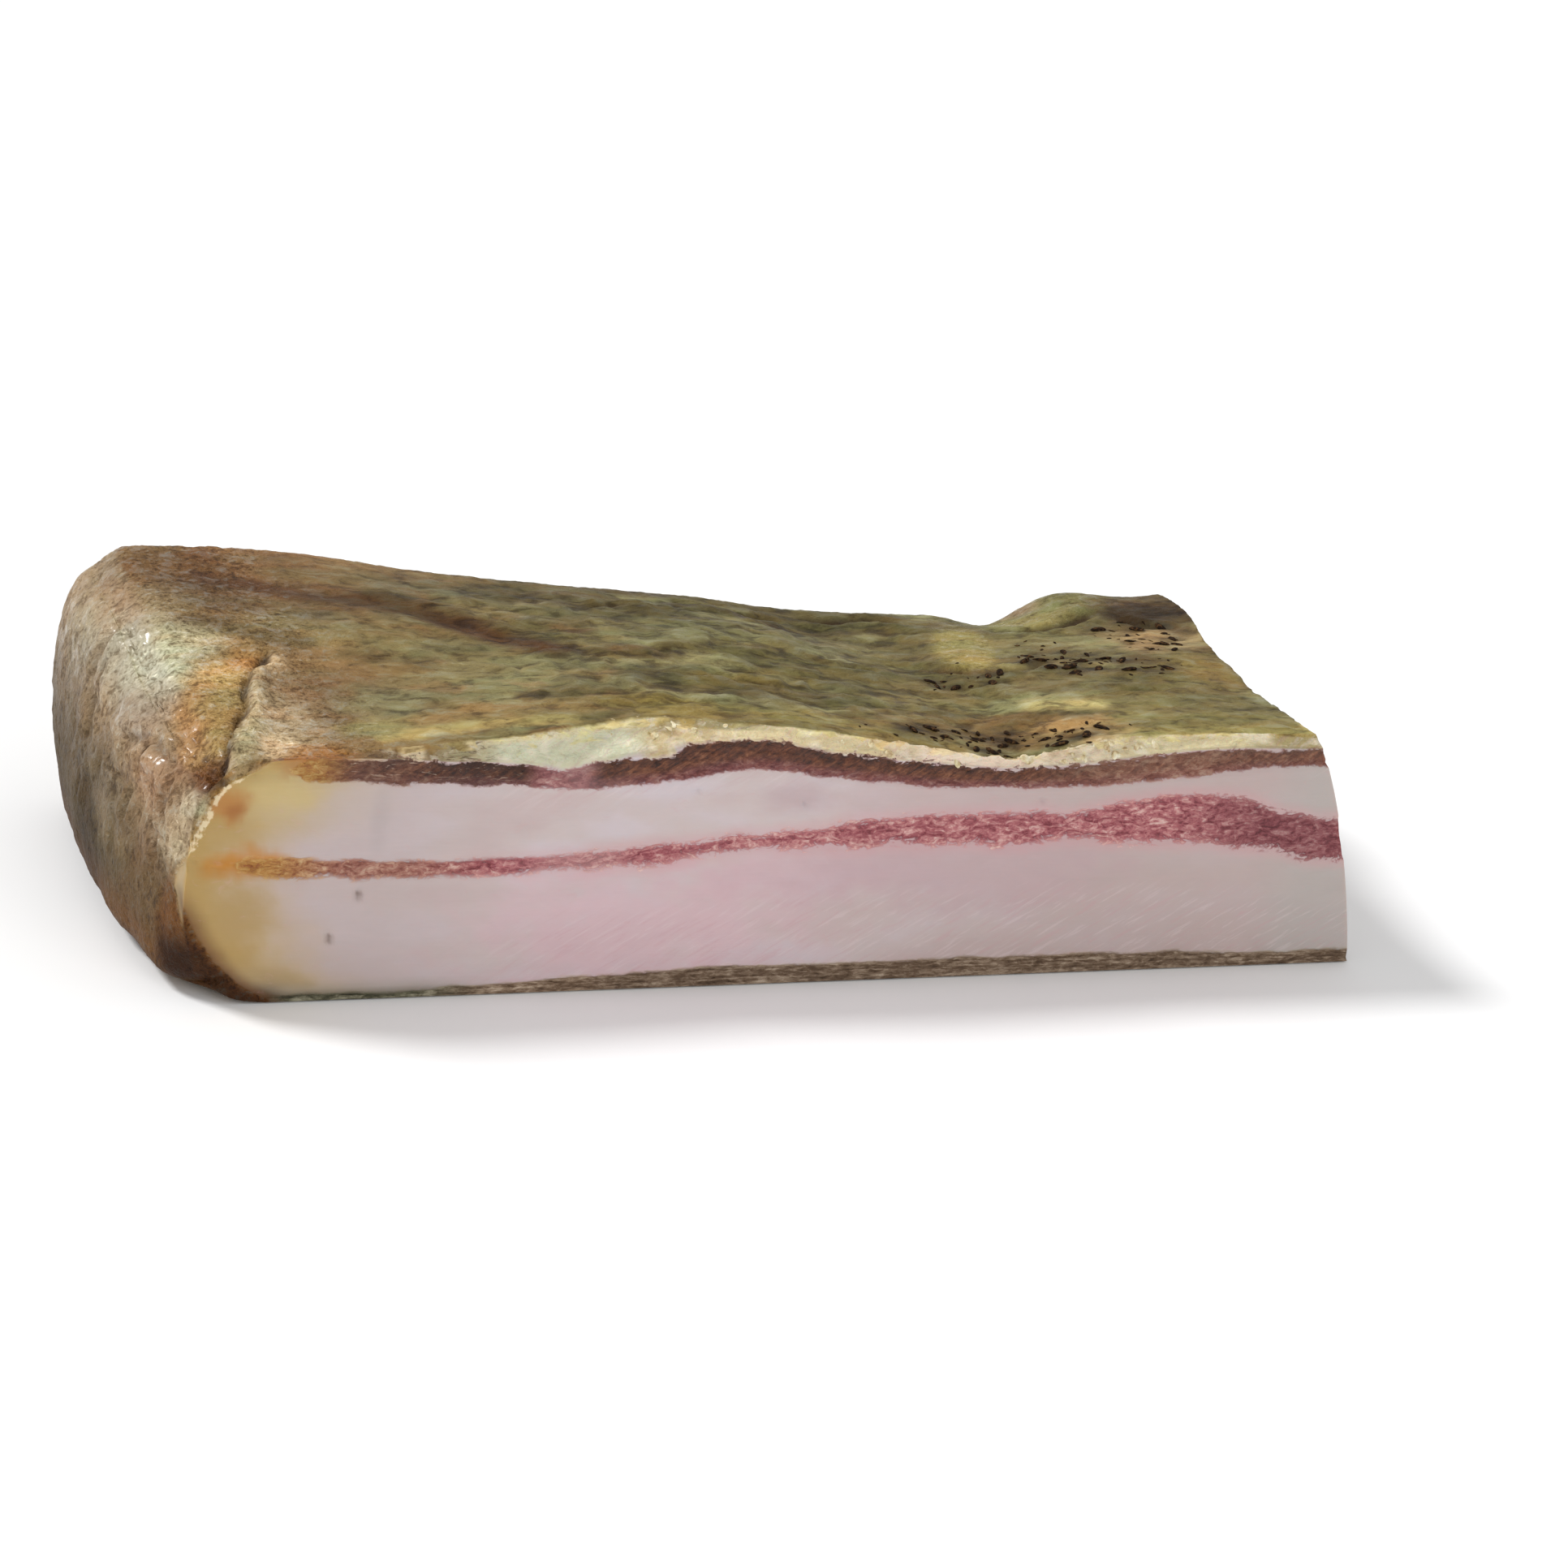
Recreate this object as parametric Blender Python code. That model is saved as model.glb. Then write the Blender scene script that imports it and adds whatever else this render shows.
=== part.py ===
"""A piece of flat pancetta: a slab of cured pork belly, natural on three sides and cut by a knife on two.

Metres, +Z up. X runs along the slab, Y from the long cut face to the back, Z from the rind that it lies on.
The shape is worked out in the slab's own frame, with x = 0 near the natural end and y = 0 on the long cut
face, and is then centred on the origin, with the rind on z = 0.
"""

import math
import random

import bmesh
import bpy
import numpy as np
from mathutils import Matrix, Vector, noise

LENGTH = 0.250  # from the front corner of the natural end to the foot of the end cut
WIDTH = 0.100

END_BULGE = 0.0055  # how far the natural end swells past a straight line
END_LEAN = 0.0026  # how far its upper back corner leans out
END_RADIUS = 0.011
FOOT_RADIUS = 0.012
TOP_RADIUS = 0.013
BACK_RADIUS = 0.010
RIND_RADIUS = 0.005
CORNER_RADIUS = 0.010  # of the upright corner by the natural end, low down on the long cut
CORNER_HEIGHT = 0.028
CORNER_LIFT = 0.0018  # how far the foot of that corner curls up off what the slab lies on
RIND = 0.0016  # thickness of the skin that it lies on
STEP = 0.0006  # half the height of the small step where lean meets fat on a cut
LEAN_SHRINK = 0.0007  # lean dries and draws in behind the fat
CRUST_SWELL = 0.0011  # how far the cured crust swells and sinks
CRUST_WAVE = 0.022  # distance between its swells

CREASE_DEPTH = 0.0030
CREASE_WIDTH = 0.0030
CREASE_LIP = 0.0018

PEPPER_COUNT = 50
PEPPER_SPACING = 0.0032
PEPPER_SEED = 11

CELLS_ALONG = 56
CELLS_ACROSS = 17

# Outlines of the long cut face, as distance along the slab and height.
CRUST_EDGE = (
    (-0.006, 0.0500), (0.014, 0.0505), (0.042, 0.0518), (0.072, 0.0531), (0.093, 0.0543), (0.114, 0.0540),
    (0.131, 0.0525), (0.149, 0.0501), (0.169, 0.0474), (0.187, 0.0506), (0.214, 0.0516), (0.256, 0.0514),
)
DARK_TOP = (
    (-0.006, 0.0490), (0.026, 0.0503), (0.047, 0.0490), (0.066, 0.0472), (0.072, 0.0454), (0.080, 0.0487),
    (0.109, 0.0526), (0.134, 0.0491), (0.158, 0.0453), (0.176, 0.0450), (0.205, 0.0487), (0.256, 0.0487),
)
DARK_FOOT = (
    (-0.006, 0.0476), (0.026, 0.0453), (0.055, 0.0444), (0.076, 0.0435), (0.095, 0.0447), (0.109, 0.0468),
    (0.128, 0.0446), (0.158, 0.0419), (0.187, 0.0419), (0.208, 0.0437), (0.237, 0.0458), (0.256, 0.0464),
)
STREAK_TOP = (
    (-0.006, 0.0310), (0.016, 0.0297), (0.045, 0.0285), (0.082, 0.0298), (0.124, 0.0332), (0.142, 0.0355),
    (0.178, 0.0360), (0.213, 0.0389), (0.226, 0.0368), (0.240, 0.0332), (0.256, 0.0322),
)
STREAK_FOOT = (
    (-0.006, 0.0282), (0.016, 0.0265), (0.045, 0.0256), (0.082, 0.0267), (0.124, 0.0296), (0.142, 0.0300),
    (0.178, 0.0300), (0.213, 0.0294), (0.240, 0.0250), (0.256, 0.0240),
)
# How far the crust's front edge stands back from the cut, which leaves a bevel of pale fat below it.
BEVEL = (
    (-0.006, 0.0), (0.014, 0.0), (0.042, 0.0018), (0.066, 0.0040), (0.093, 0.0078), (0.106, 0.0050),
    (0.131, 0.0025), (0.158, 0.0015), (0.187, 0.0024), (0.214, 0.0035), (0.256, 0.0030),
)
# The top along the back, before its dip and its lump.
BACK_TOP = (
    (-0.006, 0.0588), (0.013, 0.0588), (0.042, 0.0568), (0.065, 0.0545), (0.106, 0.0507), (0.132, 0.0488),
    (0.148, 0.0463), (0.160, 0.0448), (0.185, 0.0442), (0.222, 0.0468), (0.256, 0.0502),
)
# Plan of the natural end and of the end cut's top and foot, as distance from the long cut and along the slab.
END_PLAN = ((0.0, -0.0004), (0.006, -0.0024), (0.022, -0.0042), (0.050, -0.0052), (0.075, -0.0042), (0.104, -0.0004))
CUT_TOP = ((0.0, 0.2371), (0.016, 0.2366), (0.037, 0.2377), (0.056, 0.2402), (0.071, 0.2438), (0.104, 0.2450))
CUT_FOOT = ((0.0, 0.2540), (0.050, 0.2525), (0.104, 0.2510))
# The crease where the end's rind was folded under the top, from the top inwards to the front corner.
CREASE = ((0.0250, 0.0490), (0.0208, 0.0416), (0.0166, 0.0346), (0.0132, 0.0232), (0.0104, 0.0134), (0.0062, 0.0045), (0.0030, -0.0020))

# Lumps and dips on the top: place along and across, reach along and across, height.
LUMPS = (
    (0.202, 0.094, 0.009, 0.013, -0.0037),
    (0.220, 0.090, 0.012, 0.012, 0.0028),
    (0.178, 0.056, 0.007, 0.009, 0.0011),
    (0.120, 0.062, 0.030, 0.016, 0.0012),
    (0.150, 0.078, 0.014, 0.010, -0.0010),
    (0.060, 0.040, 0.022, 0.014, -0.0009),
    (0.238, 0.031, 0.012, 0.019, -0.0024),
)
# Where cracked pepper lies: centre along and across, reach along and across, share of the grains.
PEPPER_ZONES = (
    (0.165, 0.009, 0.025, 0.005, 0.34),
    (0.176, 0.043, 0.010, 0.005, 0.14),
    (0.200, 0.050, 0.011, 0.009, 0.24),
    (0.217, 0.043, 0.009, 0.005, 0.10),
    (0.227, 0.066, 0.010, 0.012, 0.18),
)


def curve(points):
    """A smooth function through points, by cubic pieces whose slopes follow their neighbours."""
    xs, ys = np.array(points).T
    slopes = np.gradient(ys, xs)

    def at(x):
        x = min(max(x, xs[0]), xs[-1])
        i = min(int(np.searchsorted(xs, x, side="right")) - 1, len(xs) - 2)
        span = xs[i + 1] - xs[i]
        t = (x - xs[i]) / span
        start = (1 + 2 * t) * (1 - t) ** 2 * ys[i] + t * (1 - t) ** 2 * span * slopes[i]
        return start + t * t * (3 - 2 * t) * ys[i + 1] - t * t * (1 - t) * span * slopes[i + 1]

    return at


crust_edge, dark_top, dark_foot = curve(CRUST_EDGE), curve(DARK_TOP), curve(DARK_FOOT)
streak_top, streak_foot = curve(STREAK_TOP), curve(STREAK_FOOT)
bevel, back_top, end_plan = curve(BEVEL), curve(BACK_TOP), curve(END_PLAN)
cut_top, cut_foot = curve(CUT_TOP), curve(CUT_FOOT)


def smooth(t):
    """Goes from 0 to 1 with level ends as t does."""
    t = min(max(t, 0.0), 1.0)
    return t * t * (3 - 2 * t)


def bell(distance, reach):
    return math.exp(-((distance / reach) ** 2))


def top_height(x, y):
    """Height of the crust, from its edge on the long cut to the back, with a slight crown."""
    v = smooth(y / WIDTH)
    lumps = sum(h * bell(x - cx, rx) * bell(y - cy, ry) for cx, cy, rx, ry, h in LUMPS)
    return crust_edge(x) * (1 - v) + back_top(x) * v + 0.0012 * math.sin(math.pi * min(y / WIDTH, 1)) + lumps


def layer_heights(x, y):
    """Heights of the rows that the cut faces share: rind, fat, lean streak, fat, dark lean, bevel and crust."""
    share = top_height(x, y) / crust_edge(x)
    sway = 0.0022 * math.sin(2.3 * math.pi * y / WIDTH) * smooth(y / 0.03)
    thin = 1 - 0.45 * smooth(y / WIDTH)
    foot, top = streak_foot(x) * share + sway, streak_top(x) * share + sway
    middle, half = (foot + top) / 2, (top - foot) / 2 * thin
    foot, top = middle - half, middle + half
    low, high, crust = dark_foot(x) * share, dark_top(x) * share, top_height(x, y)
    first_fat = [RIND + (foot - STEP - RIND) * i / 4 for i in range(5)]
    second_fat = [top + STEP + (low - STEP - top - STEP) * i / 3 for i in range(4)]
    return [
        0.0, *first_fat, foot + STEP, middle, top - STEP, *second_fat, low + STEP, (low + high) / 2, high,
        (high + crust) / 2, crust,
    ]


ROWS = len(layer_heights(0.1, 0.0)) - 1
STREAK_ROWS = (6, 8)
DARK_ROWS = (13, 14)
BEVEL_START = 15


def rounded(inset, radius):
    """How far a point is into an edge's rounding, from 0 at its start to 1 on the face."""
    return max(0.0, radius - inset) / radius


def round_edges(point, left, back, top):
    """Rounds the natural edges. The two cut faces keep theirs, but for the foot of the corner that they share
    with the natural end: the rind curls round it."""
    x, y, z = point
    upper = z > top / 2
    along = rounded(x - left, FOOT_RADIUS + (END_RADIUS - FOOT_RADIUS) * smooth(z / top))
    across = rounded(back - y, BACK_RADIUS)
    corner = rounded(y, CORNER_RADIUS) * along * smooth(1 - z / CORNER_HEIGHT)
    height = rounded(top - z, TOP_RADIUS) if upper else -rounded(z, RIND_RADIUS)
    over = np.array([-along, across - corner, height])
    length = np.linalg.norm(over)
    if length < 1e-9:
        return point
    radii = np.array([
        FOOT_RADIUS + (END_RADIUS - FOOT_RADIUS) * smooth(z / top),
        BACK_RADIUS if across > corner else CORNER_RADIUS,
        TOP_RADIUS if upper else RIND_RADIUS,
    ])
    return Vector(point) + Vector(over * (np.abs(over).max() / length - 1) * radii)


def corner_lift(x, y, z):
    """How far the foot of the corner between the long cut and the natural end curls up."""
    return CORNER_LIFT * smooth(1 - x / 0.017) * smooth(1 - y / 0.010) * smooth(1 - z / 0.014)


def sharp_point(u, v, row):
    """A point of the slab before its edges are rounded, and the planes that they are rounded from."""
    y = v * WIDTH
    heights = layer_heights(u * LENGTH, y)
    rise = heights[row] / heights[-1]
    swell = END_BULGE * math.sin(math.pi * rise ** 0.75) * (0.3 + 0.7 * smooth(y / 0.05))
    left = end_plan(y) - swell - END_LEAN * smooth((y - 0.060) / 0.035) * smooth((rise - 0.35) / 0.6)
    lean = 0.55 * rise + 0.45 * rise * rise
    right = cut_foot(y) * (1 - lean) + cut_top(y) * lean
    x = left + u * (right - left)
    heights = layer_heights(x, y)
    back = WIDTH + 0.0018 * math.sin(math.pi * rise) + 0.0015 * math.sin(31 * x + 0.8)
    setback = bevel(x) * smooth((row - BEVEL_START + 1) / (ROWS - BEVEL_START + 1)) if row >= BEVEL_START else 0.0
    y = setback + v * (back - setback)
    return Vector((x, y, heights[row])), left, back, heights[-1]


def crease_distance(x, y):
    """Distance from the crease in plan, positive towards the top's middle, and how near its ends are."""
    best, place = None, 0.0
    for i, (a, b) in enumerate(zip(CREASE, CREASE[1:])):
        run = Vector((b[0] - a[0], b[1] - a[1]))
        away = Vector((x - a[0], y - a[1]))
        t = min(max(away.dot(run) / run.length_squared, 0.0), 1.0)
        gap = away - run * t
        if best is None or gap.length < abs(best):
            best = math.copysign(gap.length, run.x * away.y - run.y * away.x)
            place = (i + t) / (len(CREASE) - 1)
    return best, smooth(place * 4)


def crust_relief(point, top):
    """How far the natural surface stands out: slow swells, and the fold by the front corner of the end."""
    swells = noise.noise(Vector((point.x * 0.6, point.y, point.z)) / CRUST_WAVE)
    relief = CRUST_SWELL * swells * smooth(point.z / 0.008)
    distance, strength = crease_distance(point.x, point.y)
    strength *= smooth((point.z - 0.55 * top) / (0.25 * top)) * smooth(point.y / 0.006)
    groove = CREASE_DEPTH * bell(distance, CREASE_WIDTH)
    lip = CREASE_LIP * bell(distance - 0.006, 0.006)
    hollow = 0.0012 * bell(distance + 0.008, 0.007)
    return relief + strength * (lip - groove - hollow)


def cut_relief(row):
    """Lean lies a little behind the fat on a knife cut."""
    lean = STREAK_ROWS[0] <= row <= STREAK_ROWS[1] or DARK_ROWS[0] <= row <= DARK_ROWS[1]
    return -LEAN_SHRINK if lean else 0.0


def station(i):
    """Share of the length at each row across the slab, closer together at the natural end."""
    t = i / CELLS_ALONG
    return 0.5 * t + 0.5 * t * t


def lane(j):
    """Share of the width at each row along the slab, closer together at the two long sides."""
    t = j / CELLS_ACROSS
    return t - 0.5 * math.sin(2 * math.pi * t) / (2 * math.pi)


def block():
    """A cube cut into the slab's cells, whose corners hold whole numbers: along, across and row."""
    mesh = bmesh.new()
    bmesh.ops.create_cube(mesh, size=1, matrix=Matrix.Translation((0.5, 0.5, 0.5)))
    for axis, cells in enumerate((CELLS_ALONG, CELLS_ACROSS, ROWS)):
        along = [e for e in mesh.edges if abs(e.verts[0].co[axis] - e.verts[1].co[axis]) > 1e-6]
        bmesh.ops.subdivide_edges(mesh, edges=along, cuts=cells - 1, use_grid_fill=True)
    for vert in mesh.verts:
        vert.co = Vector([round(vert.co[a] * n) for a, n in enumerate((CELLS_ALONG, CELLS_ACROSS, ROWS))])
    return mesh


def shape_slab(mesh):
    """Moves the block's corners to the slab's surface and then adds the relief along their normals."""
    cells, tops = {}, {}
    for vert in mesh.verts:
        i, j, row = (round(c) for c in vert.co)
        point, left, back, top = sharp_point(station(i), lane(j), row)
        cells[vert], tops[vert] = (i, j, row), top
        vert.co = round_edges(point, left, back, top)
        vert.co.z += corner_lift(*vert.co)
    bmesh.ops.recalc_face_normals(mesh, faces=mesh.faces)
    mesh.normal_update()
    moves = {}
    for vert in mesh.verts:
        i, j, row = cells[vert]
        on_long_cut, on_end_cut = j == 0, i == CELLS_ALONG
        if row == 0 or vert.co.z < RIND:
            continue
        if on_long_cut and on_end_cut:
            moves[vert] = Vector((1, -1, 0)) * cut_relief(row)
        elif on_long_cut and row <= BEVEL_START:
            moves[vert] = Vector((0, -1, 0)) * cut_relief(row)
        elif on_end_cut and 0 < j < CELLS_ACROSS and row <= BEVEL_START:
            moves[vert] = Vector((1, 0, 0)) * cut_relief(row)
        elif not on_end_cut:
            moves[vert] = vert.normal * crust_relief(vert.co, tops[vert])
    for vert, move in moves.items():
        vert.co += move
    return cells


def colour_faces(mesh, cells):
    """Gives each face its stuff: 0 crust, 1 fat, 2 pink lean, 3 dark lean and 4 rind."""
    for face in mesh.faces:
        spots = [cells[v] for v in face.verts]
        rows = sorted(s[2] for s in spots)
        cut = all(s[1] == 0 for s in spots) or all(s[0] == CELLS_ALONG for s in spots)
        if rows[-1] <= 1 or rows[-1] <= 3 and max(s[0] for s in spots) <= 3:
            face.material_index = 4
        elif not cut:
            face.material_index = 0
        elif STREAK_ROWS[0] <= rows[0] and rows[-1] <= STREAK_ROWS[1]:
            face.material_index = 2
        elif DARK_ROWS[0] <= rows[0] and rows[-1] <= BEVEL_START:
            face.material_index = 3
        else:
            face.material_index = 1
        face.smooth = not cut and rows[-1] > 1


def material(name, colour, roughness):
    made = bpy.data.materials.new(name)
    made.use_nodes = True
    shader = made.node_tree.nodes["Principled BSDF"]
    shader.inputs["Base Color"].default_value = (*colour, 1.0)
    shader.inputs["Roughness"].default_value = roughness
    made.diffuse_color = (*colour, 1.0)
    return made


def make_slab(collection):
    mesh = block()
    colour_faces(mesh, shape_slab(mesh))
    data = bpy.data.meshes.new("slab")
    mesh.to_mesh(data)
    mesh.free()
    data.materials.append(material("cured_crust", (0.23, 0.18, 0.09), 0.62))
    data.materials.append(material("pale_fat", (0.66, 0.54, 0.52), 0.42))
    data.materials.append(material("pink_lean", (0.40, 0.10, 0.09), 0.46))
    data.materials.append(material("dark_lean", (0.13, 0.045, 0.035), 0.50))
    data.materials.append(material("rind", (0.16, 0.12, 0.07), 0.66))
    data.materials.append(material("cracked_pepper", (0.018, 0.012, 0.010), 0.70))
    slab = bpy.data.objects.new("slab", data)
    collection.objects.link(slab)
    return slab


def pepper_places():
    """Plan places and sizes of the cracked pepper, kept apart from each other, the same each run."""
    draw = random.Random(PEPPER_SEED)
    places = []
    while len(places) < PEPPER_COUNT:
        x0, y0, reach_x, reach_y, _ = draw.choices(PEPPER_ZONES, [zone[4] for zone in PEPPER_ZONES])[0]
        angle, out = draw.uniform(0, 2 * math.pi), math.sqrt(draw.random())
        x = x0 + reach_x * out * math.cos(angle)
        y = max(y0 + reach_y * out * math.sin(angle), bevel(x0) + 0.0032)
        size, turn = draw.uniform(0.0008, 0.0015), draw.uniform(-0.8, 0.8)
        if all(math.dist((x, y), p[:2]) > PEPPER_SPACING for p in places):
            places.append((x, y, size, turn))
    return places


def ground_under(slab, x, y):
    """The slab's surface straight below a plan place, and its normal."""
    hit, point, normal, _ = slab.ray_cast(Vector((x, y, 0.1)), Vector((0, 0, -1)))
    if not hit:
        raise ValueError(f"no crust under {x:.3f}, {y:.3f}")
    return point, normal


def scatter_pepper(slab):
    """Sinks the grains of pepper half into the crust and joins them to it."""
    grains = bpy.data.collections.new("pepper")
    bpy.context.scene.collection.children.link(grains)
    bpy.context.view_layer.update()
    for number, (x, y, size, turn) in enumerate(pepper_places()):
        point, normal = ground_under(slab, x, y)
        mesh = bmesh.new()
        bmesh.ops.create_icosphere(mesh, subdivisions=1, radius=1)
        for face in mesh.faces:
            face.material_index = 5
        shape = Matrix.Diagonal((size * 1.35, size * 0.9, size * 0.62, 1))
        lie = normal.to_track_quat("Z", "Y").to_matrix().to_4x4()
        mesh.transform(Matrix.Translation(point) @ lie @ Matrix.Rotation(turn, 4, "Z") @ shape)
        data = bpy.data.meshes.new(f"grain_{number}")
        mesh.to_mesh(data)
        mesh.free()
        for slot in slab.data.materials:
            data.materials.append(slot)
        grains.objects.link(bpy.data.objects.new(data.name, data))
    join = slab.modifiers.new("pepper", "BOOLEAN")
    join.operation = "UNION"
    join.operand_type = "COLLECTION"
    join.collection = grains
    join.solver = "EXACT"
    bpy.context.view_layer.objects.active = slab
    bpy.ops.object.modifier_apply(modifier=join.name)
    for grain in list(grains.objects):
        bpy.data.objects.remove(grain)
    bpy.data.collections.remove(grains)


def centre(slab):
    """Puts the origin under the middle of the slab's box, on the rind."""
    corners = np.array([v.co for v in slab.data.vertices])
    low, high = corners.min(axis=0), corners.max(axis=0)
    slab.data.transform(Matrix.Translation((-(low[0] + high[0]) / 2, -(low[1] + high[1]) / 2, -low[2])))


def main():
    for thing in list(bpy.data.objects):
        bpy.data.objects.remove(thing)
    pancetta = bpy.data.collections.new("Pancetta")
    bpy.context.scene.collection.children.link(pancetta)
    slab = make_slab(pancetta)
    scatter_pepper(slab)
    centre(slab)


main()
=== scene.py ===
"""Looks of a slab of flat pancetta: cured pork belly with a crust on top, back and one end, and two cuts.

Shapes are worked out in the slab's own frame, in which x = 0 is near the natural end and y = 0 is the
long cut face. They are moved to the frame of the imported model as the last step.
"""

import math
import random

import bpy
import numpy as np
from mathutils import Matrix, Vector, noise


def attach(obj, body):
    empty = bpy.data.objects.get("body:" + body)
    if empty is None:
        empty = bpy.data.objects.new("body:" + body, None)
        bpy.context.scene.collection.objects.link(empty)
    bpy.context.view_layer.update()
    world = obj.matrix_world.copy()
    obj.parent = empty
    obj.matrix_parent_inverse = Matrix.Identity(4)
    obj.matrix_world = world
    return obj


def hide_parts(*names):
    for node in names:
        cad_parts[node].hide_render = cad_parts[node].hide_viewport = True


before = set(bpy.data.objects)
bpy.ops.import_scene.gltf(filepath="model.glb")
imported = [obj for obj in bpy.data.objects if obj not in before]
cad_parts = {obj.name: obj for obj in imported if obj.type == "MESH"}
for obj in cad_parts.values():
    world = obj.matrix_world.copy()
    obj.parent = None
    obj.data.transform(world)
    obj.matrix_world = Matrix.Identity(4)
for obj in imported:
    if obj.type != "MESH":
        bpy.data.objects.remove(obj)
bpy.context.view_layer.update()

# Sizes of the slab, in metres.
LENGTH, WIDTH, HEIGHT = 0.250, 0.100, 0.052
END_BULGE, END_LEAN = 0.0055, 0.0026
END_RADIUS, FOOT_RADIUS = 0.011, 0.012
TOP_RADIUS, BACK_RADIUS, RIND_RADIUS = 0.013, 0.010, 0.005
CORNER_RADIUS, CORNER_HEIGHT, CORNER_LIFT = 0.010, 0.028, 0.0018
RIND, STEP = 0.0016, 0.0006
CRUST_SWELL, CRUST_WAVE = 0.0011, 0.022
PEPPER_COUNT, PEPPER_SPACING, PEPPER_SEED = 50, 0.0032, 11
# Where the foot of both cuts meets, and how the camera stands: its place, and yaw, pitch and roll in degrees.
FOOT_CORNER = 0.254
CAMERA_PLACE, CAMERA_TURN, CAMERA_LENS = (-0.180, -0.654, 0.328), (24.4, 21.6, 8.5), 90

# Cells of the fine mesh, as two rounds of cuts along each axis.
CELLS = ((20, 15), (13, 8), (12, 5))
# Which of the layers' own rows each row of cells lies on.
CELL_ROWS = (0, 2, 26, 27, 32, 33, 45, 46, 51, 60)
LAYER_ROWS = (0, 1, 5, 6, 8, 9, 12, 13, 15, 17)

# Heights in millimetres by place along the slab.
CRUST_EDGE = (
    (-6, 50), (14, 50.5), (42, 51.8), (72, 53.1), (93, 54.3), (114, 54), (131, 52.5), (149, 50.1),
    (169, 47.4), (187, 50.6), (214, 51.6), (256, 51.4),
)
DARK_TOP = (
    (-6, 49), (26, 50.3), (47, 49), (66, 47.2), (72, 45.4), (80, 48.7), (109, 52.6), (134, 49.1),
    (158, 45.3), (176, 45), (205, 48.7), (256, 48.7),
)
DARK_FOOT = (
    (-6, 47.6), (26, 45.3), (55, 44.4), (76, 43.5), (95, 44.7), (109, 46.8), (128, 44.6), (158, 41.9),
    (187, 41.9), (208, 43.7), (237, 45.8), (256, 46.4),
)
STREAK_TOP = (
    (-6, 31), (16, 29.7), (45, 28.5), (82, 29.8), (124, 33.2), (142, 35.5), (178, 36), (213, 38.9),
    (226, 36.8), (240, 33.2), (256, 32.2),
)
STREAK_FOOT = (
    (-6, 28.2), (16, 26.5), (45, 25.6), (82, 26.7), (124, 29.6), (142, 30), (178, 30), (213, 29.4),
    (240, 25), (256, 24),
)
# How far the crust's edge is set back from the long cut, in millimetres by place along the slab.
BEVEL = (
    (-6, 0), (14, 0), (42, 1.8), (66, 4), (93, 7.8), (106, 5), (131, 2.5), (158, 1.5), (187, 2.4),
    (214, 3.5), (256, 3),
)
# Height of the top at the back, in millimetres by place along the slab.
BACK_TOP = (
    (-6, 58.8), (13, 58.8), (42, 56.8), (65, 54.5), (106, 50.7), (132, 48.8), (148, 46.3), (160, 44.8),
    (185, 44.2), (222, 46.8), (256, 50.2),
)
# Where the natural end and the top and foot of the end cut lie, in millimetres by place across.
END_PLAN = ((0, -0.4), (6, -2.4), (22, -4.2), (50, -5.2), (75, -4.2), (104, -0.4))
CUT_TOP = ((0, 237.1), (16, 236.6), (37, 237.7), (56, 240.2), (71, 243.8), (104, 245))
CUT_FOOT = ((0, 254), (50, 252.5), (104, 251))
# Lumps and hollows of the top, in metres: place along and across, reach along and across, and height.
LUMPS = (
    (0.202, 0.094, 0.009, 0.013, -0.0037),
    (0.220, 0.090, 0.012, 0.012, 0.0028),
    (0.178, 0.056, 0.007, 0.009, 0.0011),
    (0.120, 0.062, 0.030, 0.016, 0.0012),
    (0.150, 0.078, 0.014, 0.010, -0.0010),
    (0.060, 0.040, 0.022, 0.014, -0.0009),
    (0.238, 0.031, 0.012, 0.019, -0.0024),
)
# Where pepper lies, in metres: place along and across, reach along and across, and its share.
PEPPER_ZONES = (
    (0.165, 0.009, 0.025, 0.005, 0.34),
    (0.176, 0.043, 0.010, 0.005, 0.14),
    (0.200, 0.050, 0.011, 0.009, 0.24),
    (0.217, 0.043, 0.009, 0.005, 0.10),
    (0.227, 0.066, 0.010, 0.012, 0.18),
)

# From here on, all is in millimetres.
# The fold by the front corner of the natural end, from the top down to the cut.
CREASE = (
    (23.6, 45, 54.8), (20.8, 41.6, 53.8), (16.6, 34.6, 52), (12.6, 23.2, 50.3), (9.2, 13.4, 48.7),
    (6.2, 6.4, 47.2), (3.8, 1.8, 46.0), (1.4, 2.4, 43.6),
)
# Width of the stained hollow beside the fold, by place along the fold from 0 to 1.
PATCH_WIDTH = ((0, 4), (0.1, 6.5), (0.22, 11.5), (0.35, 16), (0.5, 16), (0.7, 11.5), (0.9, 8), (1, 5))
# A yellow streak on top.
YELLOW_STREAK = ((183, 25, 49.6), (187, 23.7, 50.4), (195, 22.8, 51.0))
# How far the torn fat hangs down over the dark lean, by place along the slab. Below 0, the lean is higher.
FRINGE = (
    (62, 0), (66, -0.2), (70, -0.9), (73, -1.2), (76, -0.5), (79, 0.4), (84, 1.0), (90, 2.2), (93, 1.8),
    (96, 0.8), (103, 0.5), (112, 0.1), (118, 0.3), (124, 0.6), (130, 0.2), (140, 0), (150, -0.8),
    (160, -1.0), (178, -1.0), (190, -0.5), (200, 0),
)
# How ragged the crust's edge is above the long cut, by place along the slab.
RAGGED = (
    (58, 0), (68, 0.35), (92, 0.55), (110, 0.5), (135, 0.45), (150, 0.75), (180, 0.85), (194, 0.5),
    (206, 0.2), (225, 0.2),
)
# Middle of the yellow swelling on top, and its reach along and across the slab.
SWELLING = (182.7, 62.7, 7.4, 15.5)
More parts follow.
